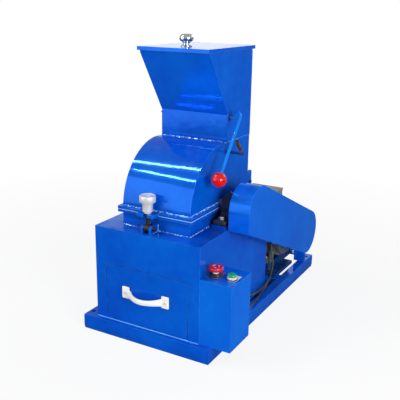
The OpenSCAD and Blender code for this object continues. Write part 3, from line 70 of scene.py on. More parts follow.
# View.
# A long lens from the front right, a little above the hopper, as the photograph
# was taken. The floor and backdrop are plain and white, the lamps large and soft.
camera_place = (0.8714, -1.6594, 0.8749)
camera_turn = math.radians(28.92)
camera_dip = math.radians(16.8)
camera_roll = math.radians(0.97)
ahead = Vector((-math.sin(camera_turn) * math.cos(camera_dip),
                math.cos(camera_turn) * math.cos(camera_dip), -math.sin(camera_dip)))
level = Vector((math.cos(camera_turn), math.sin(camera_turn), 0.0))
upward = level.cross(ahead)
right = level * math.cos(camera_roll) + upward * math.sin(camera_roll)
top = upward * math.cos(camera_roll) - level * math.sin(camera_roll)
lens = bpy.data.cameras.new("camera")
lens.lens = 57.68
lens.sensor_width = 36.0
lens.clip_end = 50.0
camera = bpy.data.objects.new("camera", lens)
scene.collection.objects.link(camera)
camera.matrix_world = Matrix.Translation(camera_place) @ Matrix((right, top, -ahead)).transposed().to_4x4()
scene.camera = camera

# Cables.
# Two sheathed leads from the motor's terminal box down to the floor of the base
# and forward to the push-button box. Both ends go into glands.


class Value:
    """A number that varies over a surface: operators on it add Math nodes."""

    def __init__(self, finish, socket):
        self.finish = finish
        self.socket = socket

    def maths(self, operation, first, second):
        return self.finish.node("ShaderNodeMath", {"operation": operation}, first, second)

    def __add__(self, other):
        return self.maths("ADD", self, other)

    def __sub__(self, other):
        return self.maths("SUBTRACT", self, other)

    def __rsub__(self, other):
        return self.maths("SUBTRACT", other, self)

    def __mul__(self, other):
        return self.maths("MULTIPLY", self, other)

    __radd__, __rmul__ = __add__, __mul__

    def above(self, low, high):
        """0 below low, 1 above high, and eased in between."""
        return self.finish.node("ShaderNodeMapRange", {"interpolation_type": "SMOOTHSTEP"},
                                self, low, high, 0.0, 1.0)


class Finish:
    """A material on Principled BSDF, or the world on Background, with its nodes added by node()."""

    def __init__(self, name, world=False, **fixed):
        self.material = (bpy.data.worlds if world else bpy.data.materials).new(name)
        self.material.use_nodes = True
        self.tree = self.material.node_tree
        self.shader = self.tree.nodes["Background" if world else "Principled BSDF"]
        for key, number in fixed.items():
            self.shader.inputs[key.replace("_", " ").title().replace("Ior", "IOR")].default_value = number
        self.place = self.node("ShaderNodeTexCoord", out="Object")

    def node(self, kind, settings=None, *values, out=0, **named):
        """Any node: its type, its settings, and the values or links of its sockets."""
        made = self.tree.nodes.new(kind)
        for key, setting in (settings or {}).items():
            setattr(made, key, setting)
        for spot, value in list(enumerate(values)) + list(named.items()):
            entry = made.inputs[spot]
            if isinstance(value, Value):
                self.tree.links.new(value.socket, entry)
            else:
                entry.default_value = value
        return Value(self, made.outputs[out])

    def noise(self, scale, detail=3.0, rough=0.5, stretch=None, twist=0.0):
        """Soft noise round a half, finer with a larger scale."""
        place = self.place
        if stretch:
            place = self.node("ShaderNodeMapping", None, place, Scale=stretch)
        return self.node("ShaderNodeTexNoise", None, place, Scale=scale, Detail=detail,
                         Roughness=rough, Distortion=twist)

    def feed(self, entry, value):
        """Links a varying value to an input, or writes a plain number or colour there."""
        if isinstance(value, Value):
            self.tree.links.new(value.socket, entry)
        else:
            entry.default_value = (*value, 1.0) if isinstance(value, tuple) else value

    def mix(self, share, first, second):
        """Colour between two colours."""
        made = self.tree.nodes.new("ShaderNodeMix")
        made.data_type = "RGBA"
        for spot, value in ((0, share), (6, first), (7, second)):
            self.feed(made.inputs[spot], value)
        return Value(self, made.outputs[2])

    def edges(self, reach):
        """Near 1 on sharp outer edges and 0 on flat ground."""
        rounded = self.node("ShaderNodeBevel", {"samples": 4}, reach)
        flat = self.node("ShaderNodeNewGeometry", out="Normal")
        dot = self.node("ShaderNodeVectorMath", {"operation": "DOT_PRODUCT"}, rounded, flat, out="Value")
        return (1.0 - dot).above(0.01, 0.16)

    def crevices(self, reach):
        """Near 1 deep in corners and 0 in the open, from ambient occlusion; the finishes paint shade with it."""
        open_share = self.node("ShaderNodeAmbientOcclusion", {"samples": 4}, Distance=reach, out="AO")
        return 1.0 - open_share

    def set(self, key, value):
        self.feed(self.shader.inputs[key], value)

    def paint(self, colour):
        self.set("Base Color", colour)

    def rough(self, value):
        self.set("Roughness", value)

    def bump(self, height, depth, strength=1.0):
        """Relief from a height of about 0 to 1, its depth in metres."""
        self.set("Normal", self.node("ShaderNodeBump", None, Strength=strength, Distance=depth, Height=height))


def rounded_path(points, steps):
    """Smooth curve through given points, with some steps between each two."""
    knots = [Vector(p) for p in points]
    curve = []
    for i in range(len(knots) - 1):
        before, here = knots[max(i - 1, 0)], knots[i]
        there, after = knots[i + 1], knots[min(i + 2, len(knots) - 1)]
        for k in range(steps):
            t = k / steps
            curve.append(0.5 * (2 * here + (there - before) * t
                                + (2 * before - 5 * here + 4 * there - after) * t * t
                                + (3 * here - before - 3 * there + after) * t ** 3))
    return curve + [knots[-1]]


def sweep(bm, path, radii, sides=16, flat=1.0, side=None):
    """Closed tube along a path, with its own radius at each point; side is the section's long way."""
    tangents = [(path[min(i + 1, len(path) - 1)] - path[max(i - 1, 0)]).normalized() for i in range(len(path))]
    side = side or tangents[0].orthogonal()
    loop, last, ends = None, None, []
    for point, tangent, radius in zip(path, tangents, radii):
        side = (side - side.dot(tangent) * tangent).normalized()
        other = tangent.cross(side)
        station = Matrix.Translation(point) @ Matrix((side, other, tangent)).transposed().to_4x4()
        station = station @ Matrix.Diagonal((radius, radius * flat, 1.0, 1.0))
        if loop is None:
            ring = bmesh.ops.create_circle(bm, cap_ends=False, radius=1.0, segments=sides, matrix=station)["verts"]
            loop = list({edge for vert in ring for edge in vert.link_edges})
            ends.append(loop)
        else:
            made = bmesh.ops.extrude_edge_only(bm, edges=loop)["geom"]
            ring = [g for g in made if isinstance(g, bmesh.types.BMVert)]
            fresh = set(ring)
            loop = [g for g in made if isinstance(g, bmesh.types.BMEdge)
                    and g.verts[0] in fresh and g.verts[1] in fresh]
            bmesh.ops.transform(bm, matrix=station @ last.inverted(), verts=ring)
        last = station
    ends.append(loop)
    for end in ends:
        bmesh.ops.edgeloop_fill(bm, edges=end, mat_nr=0, use_smooth=False)
    bmesh.ops.recalc_face_normals(bm, faces=bm.faces)


slot_of = {part["node"]: part["material_slot"] for part in frame["record"]["subparts"]}


def finished(bm, name, body, slot, *finishes, sharp=40.0):
    """Object from a bmesh, in its materials, riding on its body if it has one."""
    mesh = bpy.data.meshes.new(name)
    bm.to_mesh(mesh)
    bm.free()
    for finish in finishes:
        mesh.materials.append(finish.material)
    mesh.polygons.foreach_set("use_smooth", [True] * len(mesh.polygons))
    mesh.set_sharp_from_angle(angle=math.radians(sharp))
    made = bpy.data.objects.new(name, mesh)
    scene.collection.objects.link(made)
    if body:
        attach(made, body)
    return made


def stand_in(bm, name, node, *finishes, sharp=40.0):
    """New shape in a CAD node's place, on the node's body."""
    made = finished(bm, name, frame["nodes"][node]["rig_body"], slot_of[node], *finishes, sharp=sharp)
    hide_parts(node)
    return made


cable_r = 0.0026
motor_route = [(92, 207, 281), (95, 192, 281), (104, 175, 275), (120, 158, 260), (136, 138, 236),
               (148, 118, 205), (156, 102, 168), (165, 93, 132), (171, 88, 104), (173, 70, 76),
               (174, 46, 64), (176, 16, 60), (178, -22, 61), (180, -62, 68), (183, -102, 79),
               (187, -142, 94), (191, -180, 112), (195, -210, 128), (196, -232, 138), (196, -244, 140)]
earth_route = [(72, 207, 281), (75, 192, 279), (84, 174, 268), (100, 156, 244), (118, 138, 206),
               (136, 118, 164), (152, 100, 124), (162, 86, 92), (168, 70, 66), (171, 48, 54),
               (174, 22, 49), (178, -14, 48), (184, -56, 48), (190, -98, 52), (197, -138, 63),
               (204, -174, 82), (210, -206, 104), (212, -230, 116), (212, -244, 118)]


def sheath(name, light, dark):
    """Extruded rubber-like plastic with faint lengthwise streaks and dust."""
    finish = Finish(name, roughness=0.5)
    streak = finish.noise(60.0, 4.0, 0.6, stretch=(1.0, 0.15, 0.15)).above(0.35, 0.7)
    dust = finish.noise(14.0, 5.0, 0.65).above(0.45, 0.75)
    colour = finish.mix(streak, dark, light)
    finish.paint(finish.mix(dust * 0.12, colour, (0.30, 0.29, 0.25)))
    finish.rough(dust * 0.3 + 0.42)
    finish.bump(finish.noise(900.0, 2.0), 0.0001, 0.4)
    return finish


def laid_cable(name, node, route, finish):
    """Cable along a route in millimetres, in its CAD node's place."""
    path = rounded_path([[n / 1000 for n in point] for point in route], 4)
    bm = bmesh.new()
    sweep(bm, path, [cable_r] * len(path), sides=14)
    cable = stand_in(bm, name, node, finish)
    length = sum((b - a).length for a, b in zip(path, path[1:]))


olive_sheath = sheath("olive sheath", (0.075, 0.10, 0.035), (0.03, 0.045, 0.018))
dark_sheath = sheath("dark sheath", (0.04, 0.05, 0.025), (0.018, 0.022, 0.014))
laid_cable("motor_lead", "motor_cable", motor_route, olive_sheath)
laid_cable("earth_lead", "earth_cable", earth_route, dark_sheath)

# Room.
# White floor and sky, which mirror-like surfaces see dimmer than the camera does.
# Soft lamps stand right, front left and behind; two narrow ones make the drum's streaks.
floor_size = 12.0
white_level, mirror_sky, mirror_floor = 1.0, 0.4, 0.1
fade_from, fade_to, near_share = 0.7, 1.8, 0.86
bm = bmesh.new()
bmesh.ops.create_grid(bm, x_segments=1, y_segments=1, size=floor_size)
floor_mesh = bpy.data.meshes.new("floor")
bm.to_mesh(floor_mesh)
bm.free()
floor = bpy.data.objects.new("floor", floor_mesh)
floor.location = (0.0, 0.0, -0.0005)
scene.collection.objects.link(floor)
paper = Finish("paper", base_color=(0.84, 0.84, 0.84, 1.0), roughness=0.9, specular_ior_level=0.0)
floor_mesh.materials.append(paper.material)

sky = Finish("studio", world=True, color=(0.92, 0.95, 1.0, 1.0), strength=0.34)
scene.world = sky.material


def show_white(finish, light, mirrored, output, share=1.0):
    """White for the camera, to the given share, and a dimmer level for glossy rays."""
    glossy, direct, through = [finish.node("ShaderNodeLightPath", out="Is %s Ray" % ray)
                               for ray in ("Glossy", "Camera", "Transmission")]
    direct = direct.maths("MAXIMUM", direct, through) * share
    shader = Value(finish, finish.shader.outputs[0])
    for seen, strength in ((glossy, mirrored), (direct, white_level)):
        glow = finish.node(light, None, Color=(1.0, 1.0, 1.0, 1.0), Strength=strength)
        shader = finish.node("ShaderNodeMixShader", None, seen, shader, glow)
    finish.tree.links.new(shader.socket, finish.tree.nodes[output].inputs["Surface"])


away = paper.node("ShaderNodeVectorMath", {"operation": "LENGTH"}, paper.place, out="Value")
fade = paper.node("ShaderNodeMapRange", None, away, fade_from, fade_to, near_share, 1.0)
show_white(paper, "ShaderNodeEmission", mirror_floor, "Material Output", fade)
show_white(sky, "ShaderNodeBackground", mirror_sky, "World Output")


def lamp(name, place, aim, along, size, power):
    """A soft rectangular lamp whose long side lies along a given direction."""
    light = bpy.data.lights.new(name, "AREA")
    light.shape = "RECTANGLE"
    light.size, light.size_y = size
    light.energy = power
    made = bpy.data.objects.new(name, light)
    back = (Vector(place) - Vector(aim)).normalized()
    side = (Vector(along) - back * back.dot(Vector(along))).normalized()
    turn = Matrix((side, back.cross(side), back)).transposed().to_4x4()
    made.matrix_world = Matrix.Translation(place) @ turn
    scene.collection.objects.link(made)


lamp("right lamp", (2.4, -1.5, 1.0), (0.0, 0.0, 0.3), (0.0, 1.0, 0.0), (1.1, 1.1), 56.0)
lamp("left lamp", (-2.0, -2.2, 1.0), (0.0, 0.0, 0.3), (1.0, -1.0, 0.0), (2.6, 2.2), 28.0)
lamp("backdrop band", (-1.38, 2.4, 1.02), (0.0, -0.1, 0.774), (1.0, 0.5, 0.0), (3.0, 0.6), 4.5)
lamp("back lamp", (1.2, 2.6, 2.0), (0.0, 0.0, 0.4), (1.0, 0.0, 0.0), (1.2, 1.0), 16.0)
lamp("upper tube", (-1.28, -0.83, 2.55), (0.0, -0.27, 0.474), (0.41, 0.09, 0.16), (0.62, 0.07), 11.0)
lamp("lower tube", (-1.24, -1.57, 2.19), (0.0, -0.29, 0.451), (0.36, -0.21, -0.02), (0.46, 0.05), 7.0)

# Base frame.
# Four folded rails of 4 mm sheet, welded at the corners, with two cross members
# and anchor holes. Everything welded is brushed with one thick glossy enamel.


def enamel(name, light, deep, roughness=0.08, dust=0.1, painted_glints=0.0):
    """Brushed blue enamel over steel: long swells, fine orange peel, painted shade in the corners, thin worn edges
    with a painted edge highlight, chips, dust, and painted highlight specks where asked.
    """
    finish = Finish(name, metallic=0.22, specular_ior_level=0.4, specular_tint=(0.40, 0.80, 1.0, 1.0))
    drift = finish.noise(5.0, 4.0, 0.6).above(0.3, 0.7)
    mottle = finish.noise(38.0, 5.0, 0.6, twist=0.5).above(0.35, 0.75)
    colour = finish.mix(drift * 0.6 + mottle * 0.25, deep, light)
    # Painted shade: an occlusion mask darkens the paint deep in corners and joints, and roughens it a little.
    painted_corner_shade = finish.crevices(0.05).above(0.28, 0.95)
    colour = finish.mix(painted_corner_shade * 0.7, colour, tuple(part * 0.3 for part in deep))
    # Worn paint and a painted edge highlight: patches along sharp edges turn a paler blue.
    worn_edge_and_highlight = finish.edges(0.0022) * finish.noise(30.0, 4.0, 0.7).above(0.36, 0.6)
    colour = finish.mix(worn_edge_and_highlight * 0.5, colour, (0.08, 0.38, 0.90))
    chips = finish.noise(210.0, 2.0, 0.5).above(0.745, 0.76) * finish.noise(7.0, 2.0).above(0.52, 0.65)
    colour = finish.mix(chips * 0.7, colour, (0.02, 0.03, 0.08))
    # Painted highlights: where asked, fine specks of the paint turn pale blue.
    if painted_glints:
        colour = finish.mix(finish.noise(190.0, 1.0).above(0.50, 0.58) * painted_glints, colour, (0.45, 0.75, 1.0))
    up = finish.node("ShaderNodeSeparateXYZ", None, finish.node("ShaderNodeNewGeometry", out="Normal"), out="Z")
    film = up.above(0.5, 1.0) * finish.noise(24.0, 6.0, 0.7).above(0.42, 0.8)
    finish.paint(finish.mix(film * dust, colour, (0.30, 0.42, 0.62)))
    finish.rough(film * 0.08 + mottle * 0.04 + painted_corner_shade * 0.1 + roughness)
    peel = finish.noise(420.0, 2.0) * 0.12 + finish.noise(30.0, 2.0) + chips * -2.0
    finish.bump(peel, 0.0005, 0.45)
    return finish


blue = enamel("blue enamel", (0.0015, 0.155, 0.78), (0.0008, 0.085, 0.62))
bead_seeds, ripple = random.Random(7), 0.0026


def weld(bm, start, end, radius):
    """Weld bead: a lumpy flattened rope of overlapping pools."""
    start, end = Vector(start), Vector(end)
    count = max(6, int((end - start).length / ripple))
    path, radii = [], []
    for k in range(count + 1):
        path.append(start.lerp(end, k / count))
        pool = 0.72 + 0.28 * abs(math.sin(k * 1.1)) + bead_seeds.uniform(-0.08, 0.08)
        radii.append(radius * pool * (0.5 if k in (0, count) else 1.0))
    sweep(bm, path, radii, sides=8)


# Weld beads whose enamel carries painted highlight specks on the ripples.
bead_highlight_blue = enamel("weld bead blue, painted highlights", (0.006, 0.22, 0.86), (0.002, 0.10, 0.62), roughness=0.10, painted_glints=0.75)


def weld_group(name, beads, finish=bead_highlight_blue):
    """Several beads as one piece of the frame: (start, end, radius) each."""
    bm = bmesh.new()
    for start, end, radius in beads:
        weld(bm, start, end, radius)
    finished(bm, name, "frame", "blue_paint", finish, sharp=60.0)


def dressed(node, finish, edge, segments=2, angle=35.0):
    """Copy of a CAD node with its sharp edges rounded, standing for the node."""
    bm = bmesh.new()
    bm.from_mesh(frame["nodes"][node].data)
    bmesh.ops.remove_doubles(bm, verts=bm.verts, dist=2e-6)
    bmesh.ops.dissolve_limit(bm, angle_limit=math.radians(0.5), use_dissolve_boundaries=False,
                             verts=bm.verts, edges=bm.edges, delimit=set())
    made = stand_in(bm, node + "_skin", node, finish, sharp=angle)
    rounding = made.modifiers.new("rounding", "BEVEL")
    rounding.width = edge
    rounding.segments = segments
    rounding.limit_method = "ANGLE"
    rounding.angle_limit = math.radians(angle)
    rounding.use_clamp_overlap = True
    rounding.harden_normals = False


dressed("base_frame", blue, 0.0024, segments=3)
base_x, base_y, base_h, rail_t = 0.198, 0.384, 0.042, 0.004
rail_in, cross_edges = 0.1735, (0.1245, 0.1585)
weld_group("base_welds", [
    ((sx * base_x, sy * base_y, rail_t), (sx * base_x, sy * base_y, base_h - rail_t / 2), 0.0016)
    for sx in (-1, 1) for sy in (-1, 1)] + [
    ((sx * rail_in, y, base_h), (sx * (base_x - 0.0015), y, base_h), 0.0012)
    for sx in (-1, 1) for y in cross_edges], blue)

# Cabinet.
# Box of 4 mm sheet, open at the top for the lower housing and in front for the
# drawer, with a welded pad under each bearing. The bead along its foot is painted a pale blue as a painted highlight.
cab_x, cab_front, cab_back, cab_top = 0.162, -0.370, 0.050, 0.308
dressed("cabinet", blue, 0.0022, segments=3)
# Painted highlight: the bead along the cabinet's foot is painted pale so it shows as a bright line.
foot_bead_highlight_blue = enamel("foot bead blue, painted highlight", (0.10, 0.46, 1.0), (0.05, 0.32, 0.92), roughness=0.15)
weld_group("foot_weld", [((-cab_x, cab_front, base_h), (cab_x, cab_front, base_h), 0.0026)], foot_bead_highlight_blue)
box_back, pad_in, pad_out, pad_front, pad_back = -0.259, 0.114, 0.155, -0.223, -0.079
weld_group("cabinet_welds", [
    ((-cab_x, cab_front, base_h), (-cab_x, cab_back, base_h), 0.0024),
    ((cab_x, box_back, base_h), (cab_x, cab_back, base_h), 0.0024)] + [
    bead for sx in (1, -1) for bead in (
        ((sx * pad_in, pad_front, cab_top), (sx * (pad_out + 0.001), pad_front, cab_top), 0.0018),
        ((sx * pad_out, pad_front, cab_top), (sx * pad_out, pad_back, cab_top), 0.0018))], blue)

# Housings.
# Lower housing through the cabinet's top, with its flange, the gasket, and the
# rolled drum with the throat and the hinge ears welded on, all of 6 mm sheet.
drum_x, drum_front, drum_back, flange_high = 0.104, -0.321, 0.019, 0.3615
dressed("lower_housing", blue, 0.0012)
dressed("upper_housing", blue, 0.0012, angle=32.0)


def bare(node, finish):
    """CAD node that stays as it is, in its own finish."""
    slots = frame["nodes"][node].data.materials
    slots.clear()
    slots.append(finish.material)


gasket_fibre = Finish("gasket fibre", roughness=0.75)
fibres = gasket_fibre.noise(160.0, 4.0)
gasket_fibre.paint(gasket_fibre.mix(fibres, (0.48, 0.53, 0.58), (0.68, 0.73, 0.78)))
gasket_fibre.bump(gasket_fibre.noise(800.0, 2.0), 0.0001)
bare("flange_gasket", gasket_fibre)
throat_y, joint_z = -0.124, 0.52184
weld_group("drum_welds", [
    ((-drum_x, drum_front - 0.0005, flange_high), (drum_x, drum_front - 0.0005, flange_high), 0.0038),
    ((drum_x, drum_front, flange_high), (drum_x, drum_back, flange_high), 0.0036),
    ((-drum_x, drum_front, flange_high), (-drum_x, drum_back, flange_high), 0.0026),
    ((-drum_x, drum_front - 0.0003, cab_top), (drum_x, drum_front - 0.0003, cab_top), 0.0028),
    ((drum_x + 0.0003, drum_front, cab_top), (drum_x + 0.0003, drum_back, cab_top), 0.0026),
    ((-drum_x, throat_y - 0.001, joint_z - 0.0015), (drum_x, throat_y - 0.001, joint_z - 0.0015), 0.0042)])

# Hopper.
# Bent and welded 3 mm sheet: a throat, a fold, and a front that slopes outwards.
# A lip inside leads the material on to the gate.
fold_z, hopper_top, hopper_front = 0.596, 0.772, -0.240
lid_under = hopper_top - 0.012
front_under_lid = throat_y + (hopper_front - throat_y) * (lid_under - fold_z) / (hopper_top - fold_z)
dressed("hopper", blue, 0.0014)
corner_runs = [((throat_y, joint_z), (throat_y, fold_z)), ((throat_y, fold_z), (front_under_lid, lid_under)),
               ((drum_back, joint_z), (drum_back, lid_under))]
weld_group("hopper_welds", [
    ((sx * drum_x, *low), (sx * drum_x, *high), 0.0012) for low, high in corner_runs for sx in (-1, 1)] + [
    ((sx * drum_x, throat_y, joint_z), (sx * drum_x, drum_back, joint_z), 0.0018) for sx in (1, -1)] + [
    ((drum_x, drum_back, joint_z), (-drum_x, drum_back, joint_z), 0.0018)], blue)

# Lid.
# Shallow tray of 2 mm sheet with folded rims on two butt hinges with plain pins,
# lifted by a plated furniture knob.


def plated(name, shade, roughness, scratch=0.08, metallic=1.0):
    """Bright metal with faint smears and hairline scratches."""
    finish = Finish(name, metallic=metallic)
    smear = finish.noise(35.0, 4.0, 0.6).above(0.3, 0.75)
    finish.paint(finish.mix(smear, shade, tuple(part * 0.86 for part in shade)))
    finish.rough(smear * scratch + roughness)
    finish.bump(finish.noise(300.0, 3.0, stretch=(1.0, 1.0, 6.0)), 0.00005, 0.3)
    return finish


def turned(bm, profile, place, axis="Z", steps=48):
    """Closed round body from (radius, height) pairs, standing on a place along an axis."""
    verts = [bm.verts.new((radius, 0.0, height)) for radius, height in profile]
    rim = [bm.edges.new(pair) for pair in zip(verts, verts[1:])]
    made = bmesh.ops.spin(bm, geom=verts + rim, cent=(0, 0, 0), axis=(0, 0, 1), dvec=(0, 0, 0),
                          angle=math.tau, steps=steps, use_merge=True, use_normal_flip=False, use_duplicate=False)
    whole = set(verts) | {item for item in made["geom_last"] if isinstance(item, bmesh.types.BMVert)}
    queue = list(whole)
    while queue:
        for edge in queue.pop().link_edges:
            for vert in edge.verts:
                if vert not in whole:
                    whole.add(vert)
                    queue.append(vert)
    turn = {"Z": Matrix.Identity(4), "X": Matrix.Rotation(math.radians(90), 4, "Y"),
            "Y": Matrix.Rotation(math.radians(-90), 4, "X"), "-Y": Matrix.Rotation(math.radians(90), 4, "X")}[axis]
    bmesh.ops.transform(bm, matrix=Matrix.Translation(place) @ turn, verts=list(whole))
    bmesh.ops.remove_doubles(bm, verts=list(whole), dist=1e-7)
    bmesh.ops.recalc_face_normals(bm, faces=bm.faces)


dressed("hopper_lid", blue, 0.0016, segments=3)
dressed("lid_hinge", blue, 0.0006)
zinc = plated("zinc plate", (0.62, 0.63, 0.64), 0.28)
chrome = plated("chrome", (0.86, 0.87, 0.88), 0.06, scratch=0.04)
bare("lid_hinge_pin", zinc)

knob_place = (0.0, -0.170, 0.774)
knob_r, knob_tall = 0.0185, 0.033
knob_shares = [(0, -0.06), (0.135, -0.06), (0.135, 0), (0.80, 0), (0.83, 0.02), (0.82, 0.055), (0.70, 0.09),
               (0.58, 0.14), (0.50, 0.21), (0.49, 0.28), (0.55, 0.34), (0.72, 0.39), (0.88, 0.44), (0.97, 0.51),
               (1.0, 0.59), (1.0, 0.70), (0.97, 0.79), (0.90, 0.87), (0.78, 0.93), (0.62, 0.97), (0.40, 0.99), (0, 1)]
bm = bmesh.new()
turned(bm, [(r * knob_r, h * knob_tall) for r, h in knob_shares], knob_place, steps=64)
stand_in(bm, "knob_on_lid", "lid_knob", chrome)

# Gate and lever.
# Steel flap on a round shaft in two bushes. A rod is bent up and over from the
# shaft's end and runs down to a red ball; a coil spring pulls it back.


def raw_steel(name, light, dark, roughness=0.38, rust=0.0):
    """Machined or rolled steel with brushed lines, stains and, where asked, rust."""
    finish = Finish(name, metallic=1.0)
    lines = finish.noise(70.0, 4.0, 0.6, stretch=(0.6, 9.0, 9.0)).above(0.25, 0.8)
    stain = finish.noise(26.0, 5.0, 0.65).above(0.4, 0.7)
    colour = finish.mix(lines * 0.5 + stain * 0.3, light, dark)
    if rust:
        brown = finish.noise(90.0, 6.0, 0.7).above(0.62 - rust * 0.3, 0.8 - rust * 0.3)
        colour = finish.mix(brown, colour, (0.19, 0.085, 0.035))
        finish.set("Metallic", 1.0 - brown * 0.85)
        finish.rough(brown * 0.35 + stain * 0.12 + roughness)
    else:
        finish.rough(stain * 0.15 + lines * 0.06 + roughness)
    finish.paint(colour)
    finish.bump(finish.noise(500.0, 3.0, stretch=(0.6, 3.0, 3.0)), 0.0001, 0.4)
    return finish


bright_steel = raw_steel("bright steel", (0.60, 0.60, 0.61), (0.44, 0.44, 0.45), 0.26)
bare("gate_flap", bright_steel)
# Painted shade: a darker copy of the blue enamel for the gate bushes, spring post, back hinge pin and motor bed.
painted_shade_blue = enamel("blue enamel painted in shade", (0.002, 0.06, 0.30), (0.001, 0.035, 0.18), roughness=0.25)
dressed("gate_bushes", painted_shade_blue, 0.0006)

shaft_end = Vector((0.110, -0.110, 0.588))
lever_out, rod_r = 0.037, 0.0043
hook_shares = [(0.05, 0, 0), (0.13, 0, 0.05), (0.23, -0.04, 0.24), (0.31, -0.1, 0.42), (0.47, -0.2, 0.5),
               (0.65, -0.32, 0.5), (0.82, -0.47, 0.42), (0.95, -0.62, 0.28), (1, -0.76, 0.11)]
ball_place = Vector((0.147, -0.249, 0.451))
ball_r = 0.020
hook = [shaft_end] + rounded_path([shaft_end + lever_out * Vector(share) for share in hook_shares], 7)
stud_from = hook[-1].lerp(ball_place, 0.33)
rod = hook + [hook[-1].lerp(ball_place, k / 12) for k in range(1, 12)]
bm = bmesh.new()
sweep(bm, rod, [rod_r] * len(rod), sides=24)
stud_tip, stud_r = Vector((0.1572, stud_from.y, stud_from.z)), 0.0025
stud = [stud_from, stud_from.lerp(stud_tip, 0.78), stud_from.lerp(stud_tip, 0.8),
        stud_tip - Vector((0.0006, 0, 0)), stud_tip]
sweep(bm, stud, [stud_r, stud_r, 0.0034, 0.0034, 0.0026], sides=16)
fillet = [stud_from - Vector((0.001, 0, 0)), stud_from + Vector((0.0052, 0, 0)), stud_from + Vector((0.0068, 0, 0))]
sweep(bm, fillet, [0.0045, 0.0040, 0.0026], sides=16)
# Painted highlight: the rod's enamel is a paler copy of the blue, standing for light along the thin bar.
rod_highlight_blue = enamel("rod enamel painted lighter as highlights", (0.012, 0.27, 0.92), (0.006, 0.19, 0.84), roughness=0.12)
stand_in(bm, "lever_rod", "gate_lever", rod_highlight_blue)

phenolic = Finish("red phenolic", coat_weight=0.8, coat_roughness=0.02, specular_ior_level=0.2)
cloud = phenolic.noise(50.0, 3.0).above(0.3, 0.7)
scuff = phenolic.noise(240.0, 3.0, 0.6).above(0.68, 0.74) * phenolic.noise(30.0, 2.0).above(0.45, 0.6)
clouded = phenolic.mix(cloud, (0.58, 0.002, 0.004), (0.70, 0.004, 0.008))
phenolic.paint(phenolic.mix(scuff * 0.5, clouded, (0.8, 0.25, 0.25)))
phenolic.rough(scuff * 0.4 + 0.14)
phenolic.bump(phenolic.noise(120.0, 2.0), 0.0001, 0.25)
ball_axis = (hook[-1] - ball_place).normalized()
ball_turn = ball_axis.to_track_quat("Z", "X").to_matrix().to_4x4()
ball_profile = [(ball_r * math.sin(math.radians(d)), -ball_r * math.cos(math.radians(d))) for d in range(0, 150, 6)]
ball_profile += [(r, ball_r * share) for r, share in ((0.0098, 0.872), (0.0090, 0.905), (0.0062, 0.905),
                                                      (0.0056, 0.88), (0.0054, 0.4), (0.0, 0.4))]
bm = bmesh.new()
turned(bm, ball_profile, (0, 0, 0), steps=64)
bmesh.ops.transform(bm, matrix=Matrix.Translation(ball_place) @ ball_turn, verts=bm.verts)
stand_in(bm, "ball_grip", "lever_ball", phenolic, sharp=50.0)

post = Vector((0.154, -0.130, 0.498))
post_r = 0.004
dressed("spring_post", painted_shade_blue, 0.0008)
pull = (Vector((0.154, stud_from.y, stud_from.z)) - post)
reach, pull = pull.length, pull.normalized()
across = Vector((1, 0, 0)).cross(pull)
wire_r, coil_r, curls, curl_steps, loop_steps = 0.0008, 0.0042, 16, 16, 20
stud_spot = post + pull * reach
start_at, end_at = 0.0095, reach - 0.0085


def end_loop(middle, held_r, toward, first):
    """Open loop of wire round a post or stud, 330 degrees on from its first angle."""
    loop = []
    for k in range(loop_steps):
        angle = math.radians(first + 330 * k / (loop_steps - 1))
        loop.append(middle + (held_r + wire_r + 0.0002) * (math.cos(angle) * toward + math.sin(angle) * across))
    return loop


wire = end_loop(post, post_r, -pull, -60)
for k in range(curls * curl_steps + 1):
    s = k / (curls * curl_steps)
    grown = coil_r * min(1.0, 0.55 + min(s, 1 - s) * curls * 0.9)
    angle = math.tau * k / curl_steps
    wire.append(post + pull * (start_at + s * (end_at - start_at))
                + grown * (math.cos(angle) * across + math.sin(angle) * Vector((1, 0, 0))))
wire += end_loop(stud_spot, stud_r, pull, -150)
bm = bmesh.new()
sweep(bm, wire, [wire_r] * len(wire), sides=8)
spring_steel = raw_steel("rusty spring steel", (0.14, 0.09, 0.06), (0.06, 0.035, 0.025), 0.5, rust=0.6)
spring = finished(bm, "pull_spring", None, "spring_steel", spring_steel, sharp=60.0)
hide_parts("return_spring")
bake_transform(spring)

# Clamp.
# Eye bolt on a pin between two welded lugs. It swings up into the slot of the
# upper flange's ear, and a tall turned knob on its thread holds the flanges shut.
clamp_x, clamp_y, clamp_pin_z = -0.008, -0.346, 0.321
dressed("clamp_lugs", blue, 0.0007)
lug_faces, lug_back = (-0.0240, -0.0170, 0.0010, 0.0080), -0.3215
weld_group("lug_welds", [
    ((x, lug_back, cab_top + 0.002), (x, lug_back, cab_top + 0.019), 0.0014) for x in lug_faces] + [
    ((x, lug_back - 0.034, cab_top), (x, lug_back - 0.001, cab_top), 0.0015) for x in (lug_faces[0], lug_faces[-1])])
black_steel = raw_steel("blackened steel", (0.075, 0.075, 0.08), (0.035, 0.033, 0.033), 0.45, rust=0.2)
dressed("clamp_pin", black_steel, 0.0004)

bolt_r, bolt_top = 0.006, 0.4008
bm = bmesh.new()
turned(bm, [(0.0, -0.008), (0.0098, -0.008), (0.011, -0.0068), (0.011, 0.0068), (0.0098, 0.008), (0.0, 0.008)],
       (clamp_x, clamp_y, clamp_pin_z), axis="X", steps=40)
bolt_l, shank_at, thread_at, pitch, thread_count = bolt_top - clamp_pin_z, 0.006, 0.0245, 0.0012, 46
threads = [(0.0, shank_at), (bolt_r, shank_at), (bolt_r, thread_at - 0.0005)]
for k in range(thread_count):
    threads += [(bolt_r, thread_at + pitch * k), (bolt_r - pitch / 2, thread_at + pitch * (k + 0.5))]
threads += [(bolt_r, bolt_l - 0.0003), (bolt_r - 0.0008, bolt_l), (0.0, bolt_l)]
turned(bm, threads, (clamp_x, clamp_y, clamp_pin_z), steps=28)
stand_in(bm, "eye_bolt", "swing_bolt", black_steel, sharp=32.0)

